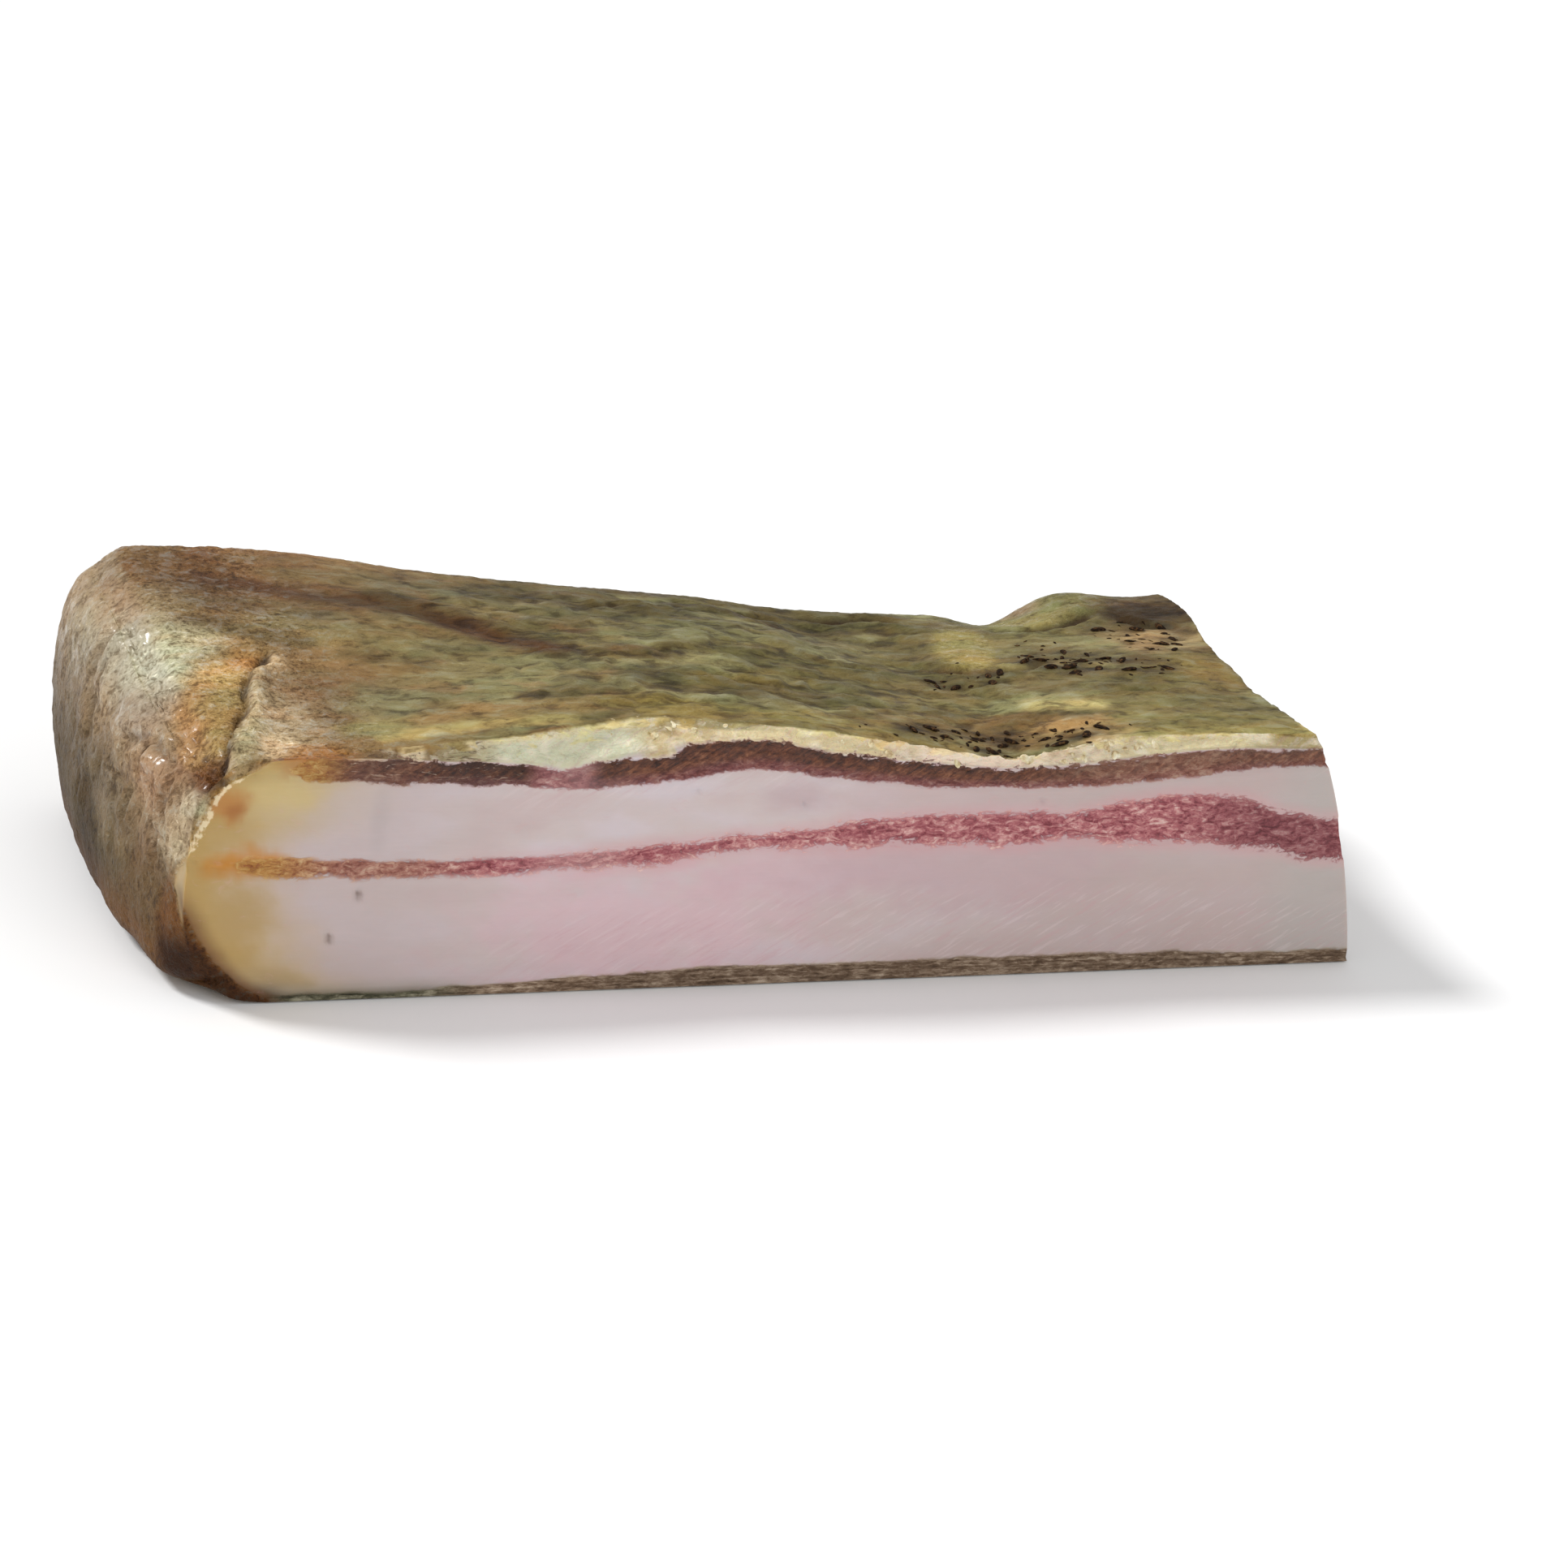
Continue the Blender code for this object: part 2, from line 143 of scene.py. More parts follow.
# Lighter and darker places of the crust on top: place along and across, reach, and how light.
EVENED = (
    (37, 61, 8, 0.68), (44, 71, 10, 0.68), (55, 64, 7, 0.66), (58, 74, 8, 0.74), (76, 77, 9, 0.62),
    (60, 85, 8, 0.68), (36, 88, 9, 0.72), (87, 79, 6, 0.80), (105, 57, 8, 0.62), (120, 73, 8, 0.74),
    (161, 79, 7, 0.76), (112, 26, 7, 0.62), (142, 33, 7, 0.64), (62, 47, 8, 0.70), (69, 56, 5, 1.60),
    (130, 50, 8, 1.50), (120, 48, 6, 1.20), (186, 49, 6, 1.40), (200, 46, 8, 1.50), (210, 59, 7, 1.35),
    (208, 74, 6, 1.30), (235, 67, 5, 0.70), (223, 44, 6, 1.20), (36, 45, 8, 1.25), (26, 52, 6, 1.25),
    (98, 35, 5, 0.75), (84, 36, 5, 0.75), (117, 16, 6, 0.80), (159, 30, 6, 0.82), (165, 42, 6, 1.15),
    (186, 49, 6, 1.20), (204, 47, 8, 1.20),
)
# Smaller folds in the crust: points, depth and width.
FOLDS = (
    (((167, 55, 48), (172, 50, 48.5), (178, 46.5, 48.5)), 1.1, 1.2),
    (((183, 46.5, 48.5), (190, 46, 49), (196, 50, 49)), 1.0, 1.2),
    (((193, 76, 46.5), (203, 73, 47), (214, 76, 48), (225, 82, 49.5)), 1.3, 1.5),
    (((150, 87, 46.5), (160, 84, 46), (170, 86, 45), (181, 83, 45)), 1.3, 1.3),
    (((118, 84, 49.5), (135, 80, 48.5), (150, 83, 47)), 1.1, 1.3),
    (((98, 74, 52), (107, 76, 52), (116, 73, 51.5)), 1.0, 1.1),
    (((108, 36, 54), (118, 30, 54), (132, 28, 52)), 0.8, 1.2),
    (((136, 52, 50), (146, 47, 49), (158, 48, 48.5)), 0.8, 1.3),
    (((195, 33, 50.5), (206, 31, 51), (217, 29, 51.5)), 0.7, 1.1),
    (((36, 72, 56.5), (52, 68, 55.8), (66, 60, 55), (82, 46, 54.5)), 0.6, 3.0),
    (((226, 78, 49), (232, 72, 49), (241, 70, 49)), 0.8, 1.4),
    (((-7.8, 34.9, 40.1), (-6.2, 29.1, 43.2), (-4.2, 25, 44.8)), 1.3, 1.1),
    (((-4.2, 25, 45), (-3.4, 19.3, 43.5), (-2.4, 13.7, 42.4), (-1.9, 10.1, 41.5)), 1.6, 1.1),
    (((-4.2, 24.6, 44.6), (-5.5, 24.4, 41.4), (-6.5, 25.4, 37.5)), 1.3, 1.1),
    (((-7.2, 27.5, 34), (-7.5, 27.1, 30.3), (-7.9, 27, 26)), 1.1, 1.1),
    (
        ((-1.9, 63.9, 54.1), (-4.8, 62, 50.9), (-8.3, 60.3, 42.1), (-9.3, 54.7, 35.7), (-9.7, 48, 31)),
        1.5, 1.4,
    ),
    (((-5.1, 59.1, 50), (-8.2, 56.2, 42), (-8.8, 48.9, 38.1)), 1.3, 1.3),
    (((-5.6, 17, 33), (-5.2, 13, 29), (-4.8, 11, 24)), 1.0, 1.1),
    (((-4.6, 13, 39), (-4.3, 12, 36.5), (-4.6, 9, 32)), 1.1, 1.1),
)
# What the finish reads of the surface at each point.
SHOWN = ("cut", "streak", "dark", "dark_rise", "bevel", "rind", "groove", "end", "lump", "skin", "rim")
# Nicks in the long cut: distance along the slab, and height.
NICKS = ((27, 13), (32, 22), (174, 38.7), (98.6, 42.4), (122, 39.4))
# Where the crust ends on the long cut by the natural end: height, and distance along the slab.
CUT_RIM = (
    (0, 17), (2.2, 12.8), (4.8, 9.2), (8.5, 5.0), (14.1, 1.4), (18.4, -0.9), (24, -4), (31, -3.2),
    (34, -1.4), (38, 0.5), (41.7, 1.8), (44.5, 3.2), (46.4, 6), (48.0, 10), (50.2, 12.8), (53, 16),
)

# Marks on the crust and the cut, laid in turn. A blob has its place, its reach along each axis, wobble,
# softness, colour and strength. A stripe has its points, width, wobble, softness, colour and strength.
LEFT_MARKS = (
    (30, 86, 57, 46, 10, 20, 0.4, 0.6, 160, 132, 100, 0.75),
    (12, 82, 57, 14, 12, 12, 0.5, 0.6, 116, 82, 50, 0.85), (11, 74, 58, 9, 4, 8, 0.6, 0.6, 98, 70, 44, 0.7),
    (((18, 76, 58), (28, 73.5, 57), (38, 70, 56.3), (50, 69, 55.7)), 3.4, 0.5, 0.5, (98, 68, 44), 0.85),
    (((50, 69, 55.7), (60, 66, 55.2), (68, 61, 54.8)), 4.0, 0.5, 0.9, (104, 76, 42), 0.9),
    (((64, 60, 55), (72, 54, 54.5), (84, 44, 54.7)), 4.6, 0.4, 0.9, (64, 42, 20), 0.95),
    (46, 82, 56, 14, 5, 8, 0.5, 0.35, 128, 112, 80, 0.7),
    (34, 58, 56, 14, 7, 10, 0.5, 0.6, 138, 122, 90, 0.75),
    (44, 50, 55, 12, 5, 8, 0.5, 0.6, 130, 118, 84, 0.7),
    (30, 26, 53, 13, 14, 12, 0.4, 0.6, 126, 98, 72, 0.8), (26, 40, 54, 9, 5, 8, 0.4, 0.6, 146, 120, 88, 0.7),
    (33, 13, 52, 7, 4, 8, 0.4, 0.6, 124, 96, 64, 0.8), (40, 22, 52.8, 9, 7, 10, 0.4, 0.6, 134, 130, 102, 0.8),
    (37, 11, 52.0, 9, 4, 8, 0.4, 0.6, 150, 146, 106, 0.85),
)
MIDDLE_MARKS = (
    (85, 80, 52, 24, 7, 14, 0.5, 0.35, 108, 98, 70, 0.6),
    (80, 70, 53.5, 12, 6, 10, 0.5, 0.35, 146, 134, 96, 0.75),
    (98, 68, 53, 14, 6, 10, 0.5, 0.35, 110, 104, 74, 0.7),
    (62, 46, 54.6, 14, 5, 10, 0.5, 0.35, 132, 126, 92, 0.7),
    (70, 36, 54, 18, 7, 12, 0.5, 0.35, 136, 130, 98, 0.75),
    (84, 26, 54.8, 11, 4.5, 10, 0.5, 0.35, 112, 104, 76, 0.7),
    (106, 56, 53.5, 12, 8, 10, 0.5, 0.35, 140, 136, 100, 0.7),
    (102, 30, 54.6, 12, 6, 10, 0.5, 0.35, 92, 86, 56, 0.7),
    (122, 60, 52, 16, 6, 10, 0.5, 0.35, 128, 124, 90, 0.65),
    (((46, 12, 52.8), (56, 15, 53.5), (66, 15, 54.2), (78, 15, 54.8)), 3.4, 0.5, 0.8, (146, 122, 84), 0.8),
    (((84, 18, 55), (94, 17, 55), (104, 14, 54.6)), 2.6, 0.5, 0.8, (136, 116, 64), 0.75),
    (((36, 6, 51.8), (46, 8, 52.4), (58, 9.5, 53.4), (74, 8.6, 54.2)), 1.9, 0.5, 0.8, (176, 160, 112), 0.85),
    (((92, 12, 55), (104, 12, 54.8), (120, 10, 53.4), (140, 10, 51.8)), 3.8, 0.5, 0.5, (138, 126, 76), 0.8),
    (((108, 27, 54), (122, 33, 52.7), (136, 37, 51)), 4.0, 0.5, 0.5, (132, 119, 74), 0.7),
    (122, 22, 53.2, 9, 4, 8, 0.5, 0.35, 112, 100, 68, 0.7),
    (((104, 88, 51), (130, 86, 49), (150, 86, 46), (176, 88, 44)), 3.2, 0.5, 0.5, (96, 84, 58), 0.7),
    (((120, 80, 50), (134, 78, 49), (148, 74, 48)), 2.6, 0.6, 0.5, (80, 64, 42), 0.75),
    (150, 62, 49, 24, 10, 14, 0.5, 0.35, 116, 109, 78, 0.7),
    (146, 40, 50, 16, 7, 12, 0.5, 0.35, 104, 96, 62, 0.65),
    (160, 30, 49, 14, 7, 12, 0.5, 0.35, 126, 114, 74, 0.7),
)
SWELLING_MARKS = (
    (212, 85, 48, 19, 11, 12, 0.3, 0.5, 131, 126, 86, 0.95),
    (206, 82, 48, 8, 5, 8, 0.4, 0.6, 144, 136, 92, 0.7),
    (219, 90, 48, 9, 7, 10, 0.4, 0.6, 118, 122, 88, 0.6),
    (237, 84, 49, 12, 12, 14, 0.4, 0.5, 58, 38, 16, 0.95),
)
RIGHT_MARKS = (
    (((194, 75, 46.5), (204, 71.5, 47.4), (216, 73, 48.4), (226, 78, 49)), 1.6, 0.5, 0.5, (92, 88, 60), 0.8),
    (202, 52, 50, 18, 14, 14, 0.5, 0.6, 108, 96, 68, 0.8),
    (200, 66, 48, 13, 5, 10, 0.5, 0.35, 128, 122, 88, 0.8),
    (231, 64, 50, 13, 7, 12, 0.4, 0.5, 182, 156, 122, 0.9),
)
EDGE_MARKS = (
    (231, 42, 50.8, 10, 9, 12, 0.4, 0.5, 134, 114, 68, 0.9),
    (222, 32, 51.4, 9, 5, 8, 0.4, 0.6, 128, 114, 72, 0.75),
    (214, 22, 51.6, 22, 6, 12, 0.4, 0.6, 118, 108, 72, 0.75),
    (((194, 13, 51.2), (208, 13, 51.7), (222, 12, 51.8)), 3.0, 0.4, 0.7, (137, 130, 84), 0.85),
    (YELLOW_STREAK, 3.2, 0.1, 0.8, (194, 180, 130), 0.95),
    (190, 37, 50, 10, 5, 10, 0.5, 0.35, 116, 102, 72, 0.7),
    (164, 13, 50, 24, 7, 12, 0.5, 0.6, 124, 98, 64, 0.85),
    (184, 12, 50, 9, 5, 12, 0.5, 0.6, 176, 146, 106, 0.8),
    (176, 20, 49, 8, 3, 8, 0.5, 0.6, 120, 92, 56, 0.7),
)
CORNER_MARKS = (
    (184, 68, 48, 4, 7, 8, 0.4, 0.8, 152, 144, 98, 0.6),
    (181.5, 57, 48, 3.4, 5, 8, 0.4, 0.8, 164, 144, 92, 0.6),
    (172, 72, 46, 5, 8, 8, 0.4, 0.6, 104, 92, 58, 0.8), (191, 62, 48, 4, 8, 8, 0.4, 0.6, 140, 130, 92, 0.6),
    (233, 78, 49.5, 9, 6.5, 12, 0.4, 0.5, 50, 36, 12, 0.95),
    (239, 70, 50, 4, 5, 8, 0.4, 0.6, 100, 80, 52, 0.85), (228, 80, 49, 7, 4, 10, 0.5, 0.5, 58, 42, 18, 0.85),
    (217, 47, 50, 7, 4, 8, 0.5, 0.6, 84, 64, 34, 0.8), (216, 68, 48, 8, 4, 8, 0.5, 0.6, 126, 116, 86, 0.6),
    (223, 56, 50, 5, 4, 8, 0.5, 0.6, 154, 130, 98, 0.7),
    (165, 40, 48, 10, 4, 8, 0.5, 0.6, 122, 110, 78, 0.7),
    (204, 19.5, 51.4, 7, 3, 8, 0.4, 0.6, 128, 118, 76, 0.9),
    (220, 11, 51.7, 16, 4, 8, 0.4, 0.6, 120, 110, 70, 0.8),
    (147.5, 4.6, 50, 4, 1.6, 6, 0.4, 0.6, 86, 68, 42, 0.85),
    (((168, 51, 47.6), (176, 47, 48.2), (182, 46, 48.6)), 1.3, 0.4, 0.6, (104, 82, 52), 0.8),
    (234, 6, 51, 12, 4, 12, 0.5, 0.35, 136, 120, 72, 0.8),
    (
        ((192, 3.5, 51), (206, 4.5, 51.6), (222, 4.5, 51.6), (236, 4, 51.4)),
        2.6, 0.5, 0.9, (156, 146, 98), 0.9,
    ),
    (187, 3.6, 50.4, 8, 2.6, 4, 0.7, 0.6, 190, 164, 130, 0.9),
    (((98, 9, 54.4), (116, 7, 53.8), (136, 5, 52.2), (158, 4, 49)), 2.4, 0.7, 0.9, (144, 128, 82), 0.7),
)
# Marks on the natural end's upper shoulder: the first is a pale grey-green painted highlight, the second a
# tan place beside it.
SHOULDER_MARKS = (
    (-1.5, 48, 51.5, 11, 13, 6.5, 0.3, 0.8, 186, 190, 180, 0.95),
    (6, 48, 55, 6, 7, 4, 0.4, 0.8, 168, 156, 132, 0.7),
)
END_MARKS = (
    (-4, 35, 47, 8, 8, 5, 0.4, 0.7, 186, 170, 154, 0.85),
    (-4.5, 18, 38.5, 8, 10, 5, 0.4, 0.7, 146, 116, 92, 0.8),
    (-8, 34, 31, 6, 10, 8, 0.4, 0.7, 104, 92, 70, 0.8), (-6, 14, 22, 8, 10, 7, 0.4, 0.7, 124, 102, 78, 0.7),
)
FLAP_MARKS = (
    (-2.4, 5, 35, 4, 6, 7, 0.5, 0.6, 190, 180, 158, 0.9),
    (-0.6, 2.5, 40.5, 2.2, 4, 3.5, 0.5, 0.6, 204, 198, 180, 0.85),
)
# Pale pinkish skin beside the fold, lightened further as a painted highlight on the fold's raised lip.
BESIDE_MARKS = (
    (17, 18, 52, 8, 20, 8, 0.4, 0.7, 188, 162, 138, 0.9),
    (14.5, 5, 49.8, 5, 6, 4, 0.4, 0.7, 220, 192, 166, 0.9),
)
# Lighter and darker places of the natural end: place, reach along each axis, and how light.
END_EVENED = (
    (-5, 35, 46, 6, 9, 4, 0.66), (-6, 25, 39, 7, 12, 9, 1.38), (9, 49, 55, 11, 5, 5, 1.40),
    (10, 36, 52.8, 7, 5, 5, 1.50), (18, 64, 57, 9, 5, 5, 0.72), (6, 62, 57, 5, 6, 5, 1.18),
    (-3, 71, 53, 7, 10, 6, 1.35), (-6, 86, 48, 6, 8, 8, 1.15),
)
# Marks by the fold: dark brown at its lower end as painted shade over the crust's brown, a tan place, and a
# dark dot painted as the shade of a small hole.
FOLD_MARKS = (
    (5.4, 4.6, 48, 3.2, 3.6, 4, 0.4, 0.6, 100, 66, 30, 0.85),
    (21, 29, 53, 5, 6, 6, 0.4, 0.6, 136, 108, 80, 0.6),
    (2.6, 9.6, 46, 0.9, 0.9, 1.2, 0.0, 0.35, 66, 44, 24, 0.8),
)
FAT_MARKS = (
    (90, 0, 13, 34, 30, 12, 0.5, 0.6, 208, 178, 183, 0.85),
    (125, 0, 24, 26, 30, 5, 0.5, 0.6, 202, 170, 176, 0.7),
    (150, 0, 40, 26, 30, 4, 0.5, 0.6, 194, 170, 170, 0.6),
)
TORN_MARKS = (
    (96, 3, 52, 8, 9, 6, 0.5, 0.35, 196, 172, 120, 0.85),
    (122, 2, 51, 24, 12, 9, 0.3, 0.35, 226, 208, 162, 0.8),
    (168, 2, 47, 26, 12, 9, 0.5, 0.35, 230, 212, 182, 0.85),
    (208, 2, 50, 18, 12, 9, 0.3, 0.35, 220, 206, 162, 0.8),
    (158, 1, 48, 16, 12, 9, 0.4, 0.35, 242, 222, 200, 0.8),
)
OCHRE_MARKS = (
    (14, 0, 43.5, 7, 20, 4.5, 0.4, 0.8, 200, 178, 122, 0.7),
    (8.6, 0, 18, 5.5, 20, 7, 0.4, 0.8, 168, 138, 84, 0.7),
    (5.2, 0, 41.0, 3.8, 20, 2.9, 0.8, 0.6, 176, 120, 56, 0.9),
    (6.4, 0, 40.0, 1.9, 20, 1.6, 0.8, 0.6, 154, 94, 38, 0.7),
    (9.5, 0, 29.3, 6.5, 20, 2.9, 0.5, 0.6, 186, 122, 28, 0.95),
    (34.5, 0, 37, 1.4, 20, 6, 0.4, 0.8, 166, 156, 156, 0.3),
)


def curve(points):
    """A smooth function through points, by cubic pieces whose slopes follow their neighbours."""
    xs, ys = np.array(points).T / 1000
    slopes = np.gradient(ys, xs)

    def at(x):
        x = np.clip(x, xs[0], xs[-1])
        i = np.clip(np.searchsorted(xs, x, side="right") - 1, 0, len(xs) - 2)
        span = xs[i + 1] - xs[i]
        t = (x - xs[i]) / span
        start = (1 + 2 * t) * (1 - t) ** 2 * ys[i] + t * (1 - t) ** 2 * span * slopes[i]
        return start + t * t * (3 - 2 * t) * ys[i + 1] - t * t * (1 - t) * span * slopes[i + 1]

    return at


crust_edge, dark_top, dark_foot = curve(CRUST_EDGE), curve(DARK_TOP), curve(DARK_FOOT)
streak_top, streak_foot = curve(STREAK_TOP), curve(STREAK_FOOT)
bevel, back_top, end_plan = curve(BEVEL), curve(BACK_TOP), curve(END_PLAN)
cut_top, cut_foot = curve(CUT_TOP), curve(CUT_FOOT)


def smooth(t):
    """Goes from 0 to 1 with level ends as t does."""
    t = np.clip(t, 0.0, 1.0)
    return t * t * (3 - 2 * t)


def ease(value, start, end):
    """Goes from 0 where a value is at the start to 1 where it is at the end, which may be lower."""
    return smooth((value - start) / (end - start))


def bell(distance, reach):
    return np.exp(-((distance / reach) ** 2))


def top_height(x, y):
    """Height of the crust, from its edge on the long cut to the back, with a slight crown."""
    v = smooth(y / WIDTH)
    lumps = sum(h * bell(x - cx, rx) * bell(y - cy, ry) for cx, cy, rx, ry, h in LUMPS)
    crown = 0.0012 * np.sin(math.pi * np.minimum(y / WIDTH, 1))
    return crust_edge(x) * (1 - v) + back_top(x) * v + crown + lumps


def layer_heights(x, y):
    """Heights of the rows that the cut faces share: rind, fat, lean, fat, dark lean, bevel and crust."""
    crust = top_height(x, y)
    share = crust / crust_edge(x)
    sway = 0.0022 * np.sin(2.3 * math.pi * y / WIDTH) * smooth(y / 0.03)
    thin = 1 - 0.45 * smooth(y / WIDTH)
    foot, top = streak_foot(x) * share + sway, streak_top(x) * share + sway
    middle, half = (foot + top) / 2, (top - foot) / 2 * thin
    foot, top = middle - half, middle + half
    low, high = dark_foot(x) * share, dark_top(x) * share
    first_fat = [RIND + (foot - STEP - RIND) * i / 4 for i in range(5)]
    second_fat = [top + STEP + (low - STEP - top - STEP) * i / 3 for i in range(4)]
    return np.array([
        0 * x, *first_fat, foot + STEP, middle, top - STEP, *second_fat, low + STEP, (low + high) / 2, high,
        (high + crust) / 2, crust,
    ])


def level(row, heights):
    """Height at a row that may lie between two of the layers' own."""
    low = np.minimum(row.astype(int), len(heights) - 2)
    part, each = row - low, np.arange(len(row))
    return heights[low, each] * (1 - part) + heights[low + 1, each] * part


def rounded(inset, radius):
    """How far a point is into an edge's rounding, from 0 at its start to 1 on the face."""
    return np.maximum(0.0, radius - inset) / radius


def round_edges(x, y, z, left, back, top):
    """Rounds the natural edges, and the foot of the corner between the long cut and the natural end."""
    upper = z > top / 2
    end_radius = FOOT_RADIUS + (END_RADIUS - FOOT_RADIUS) * smooth(z / top)
    along = rounded(x - left, end_radius)
    across = rounded(back - y, BACK_RADIUS)
    corner = rounded(y, CORNER_RADIUS) * along * smooth(1 - z / CORNER_HEIGHT)
    height = np.where(upper, rounded(top - z, TOP_RADIUS), -rounded(z, RIND_RADIUS))
    over = np.stack([-along, across - corner, height], axis=1)
    length = np.maximum(np.linalg.norm(over, axis=1), 1e-9)
    radii = np.stack([
        end_radius,
        np.where(across > corner, BACK_RADIUS, CORNER_RADIUS),
        np.where(upper, TOP_RADIUS, RIND_RADIUS),
    ], axis=1)
    return np.stack([x, y, z], axis=1) + over * (np.abs(over).max(axis=1) / length - 1)[:, None] * radii


def corner_lift(x, y, z):
    """How far the foot of the corner between the long cut and the natural end curls up."""
    return CORNER_LIFT * smooth(1 - x / 0.017) * smooth(1 - y / 0.010) * smooth(1 - z / 0.014)


def slab_surface(u, v, row):
    """Points of the slab from their share of its length and width and their row of the layers."""
    y = v * WIDTH
    heights = layer_heights(u * LENGTH, y)
    rise = level(row, heights) / heights[-1]
    swell = END_BULGE * np.sin(math.pi * rise ** 0.75) * (0.3 + 0.7 * smooth(y / 0.05))
    left = end_plan(y) - swell - END_LEAN * ease(y, 0.06, 0.095) * ease(rise, 0.35, 0.95)
    lean = 0.55 * rise + 0.45 * rise * rise
    right = cut_foot(y) * (1 - lean) + cut_top(y) * lean
    x = left + u * (right - left)
    heights = layer_heights(x, y)
    back = WIDTH + 0.0018 * np.sin(math.pi * rise) + 0.0015 * np.sin(31 * x + 0.8)
    setback = bevel(x) * np.interp(row, (14, 15, 16, 17), (0, 7 / 27, 20 / 27, 1))
    y = setback + v * (back - setback)
    points = round_edges(x, y, level(row, heights), left, back, heights[-1])
    points[:, 2] += corner_lift(*points.T)
    return points


def fractal(points, reach, octaves=4, seed=0.0, rough=1.0):
    """Smooth noise about -1 to 1 at each point, with features of the given reach along X, Y and Z."""
    spots = ((points + seed) / np.array(reach)).tolist()
    return np.array([noise.fractal(p, rough, 2.0, octaves) for p in spots])


def cell_gap(points, reach, seed=0.0):
    """0 along the borders of irregular cells, and larger towards their middles."""
    spots = ((points + seed) / np.array(reach)).tolist()
    return np.array([noise.noise(p, noise_basis="VORONOI_F2F1") for p in spots]) / 2 + 0.5


def near_line(points, normals, line):
    """Distance from a line on the surface, place along it from 0 to 1, and the side, 1 on its right."""
    line = np.array(line, dtype=float)
    squash = np.array([1, 1, 0.5])
    best, along, side = np.full(len(points), 1e9), np.zeros(len(points)), np.zeros(len(points))
    for i, (a, b) in enumerate(zip(line, line[1:])):
        run = b - a
        t = np.clip(((points - a) @ run) / (run @ run), 0, 1)
        away = (points - a - t[:, None] * run) * squash
        gap = np.linalg.norm(away, axis=1)
        closer = gap < best
        best[closer] = gap[closer]
        along[closer] = ((i + t) / (len(line) - 1))[closer]
        turn = np.einsum("ij,ij->i", np.cross(away, np.broadcast_to(run, away.shape)), normals)
        side[closer] = np.sign(turn)[closer]
    return best, along, side


def read(mesh, collection, name, width):
    values = np.empty(len(collection) * width)
    collection.foreach_get(name, values)
    return values.reshape(-1, width) if width > 1 else values


def deselect():
    bpy.ops.object.select_all(action="DESELECT")


def edit(piece, mode):
    """Opens a piece for editing with one kind of element selectable."""
    deselect()
    bpy.context.view_layer.objects.active = piece
    piece.select_set(True)
    bpy.context.tool_settings.mesh_select_mode = [kind == mode for kind in ("VERT", "EDGE", "FACE")]
    bpy.ops.object.mode_set(mode="EDIT")


def close_edit():
    bpy.ops.object.mode_set(mode="OBJECT")


def select_only(mesh, edges=None, faces=None):
    none = np.zeros
    mesh.vertices.foreach_set("select", none(len(mesh.vertices), dtype=bool))
    mesh.edges.foreach_set("select", none(len(mesh.edges), dtype=bool) if edges is None else edges)
    mesh.polygons.foreach_set("select", none(len(mesh.polygons), dtype=bool) if faces is None else faces)


def cut_along(block, axis, count):
    """Cuts every edge that runs along one axis into equal parts."""
    mesh = block.data
    ends = read(mesh, mesh.edges, "vertices", 2).astype(int)
    spots = read(mesh, mesh.vertices, "co", 3)
    run = np.abs(spots[ends[:, 0]] - spots[ends[:, 1]])
    select_only(mesh, edges=run[:, axis] > 1e-7)
    edit(block, "EDGE")
    bpy.ops.mesh.subdivide(number_cuts=count - 1)
    close_edit()


def merge_flat_base(block, counts):
    """Makes one face of the part of the base that stays flat, as nothing there needs cells."""
    mesh = block.data
    centres = read(mesh, mesh.polygons, "center", 3) / np.array([LENGTH, WIDTH, HEIGHT]) * np.array(counts)
    along, across, up = centres.T
    flat = (up < 1e-4) & (along > 36) & (along < counts[0] - 2) & (across > 3) & (across < counts[1] - 15)
    select_only(mesh, faces=flat)
    edit(block, "FACE")
    bpy.ops.mesh.dissolve_faces()
    close_edit()


def add_block():
    """A block of the slab's size, cut into cells."""
    deselect()
    size = (LENGTH, WIDTH, HEIGHT)
    bpy.ops.mesh.primitive_cube_add(size=1, location=[side / 2 for side in size], scale=size)
    block = bpy.context.object
    bpy.ops.object.transform_apply(location=True, rotation=True, scale=True)
    for axis, rounds in enumerate(CELLS):
        for count in rounds:
            cut_along(block, axis, count)
    merge_flat_base(block, [a * b for a, b in CELLS])
    return block


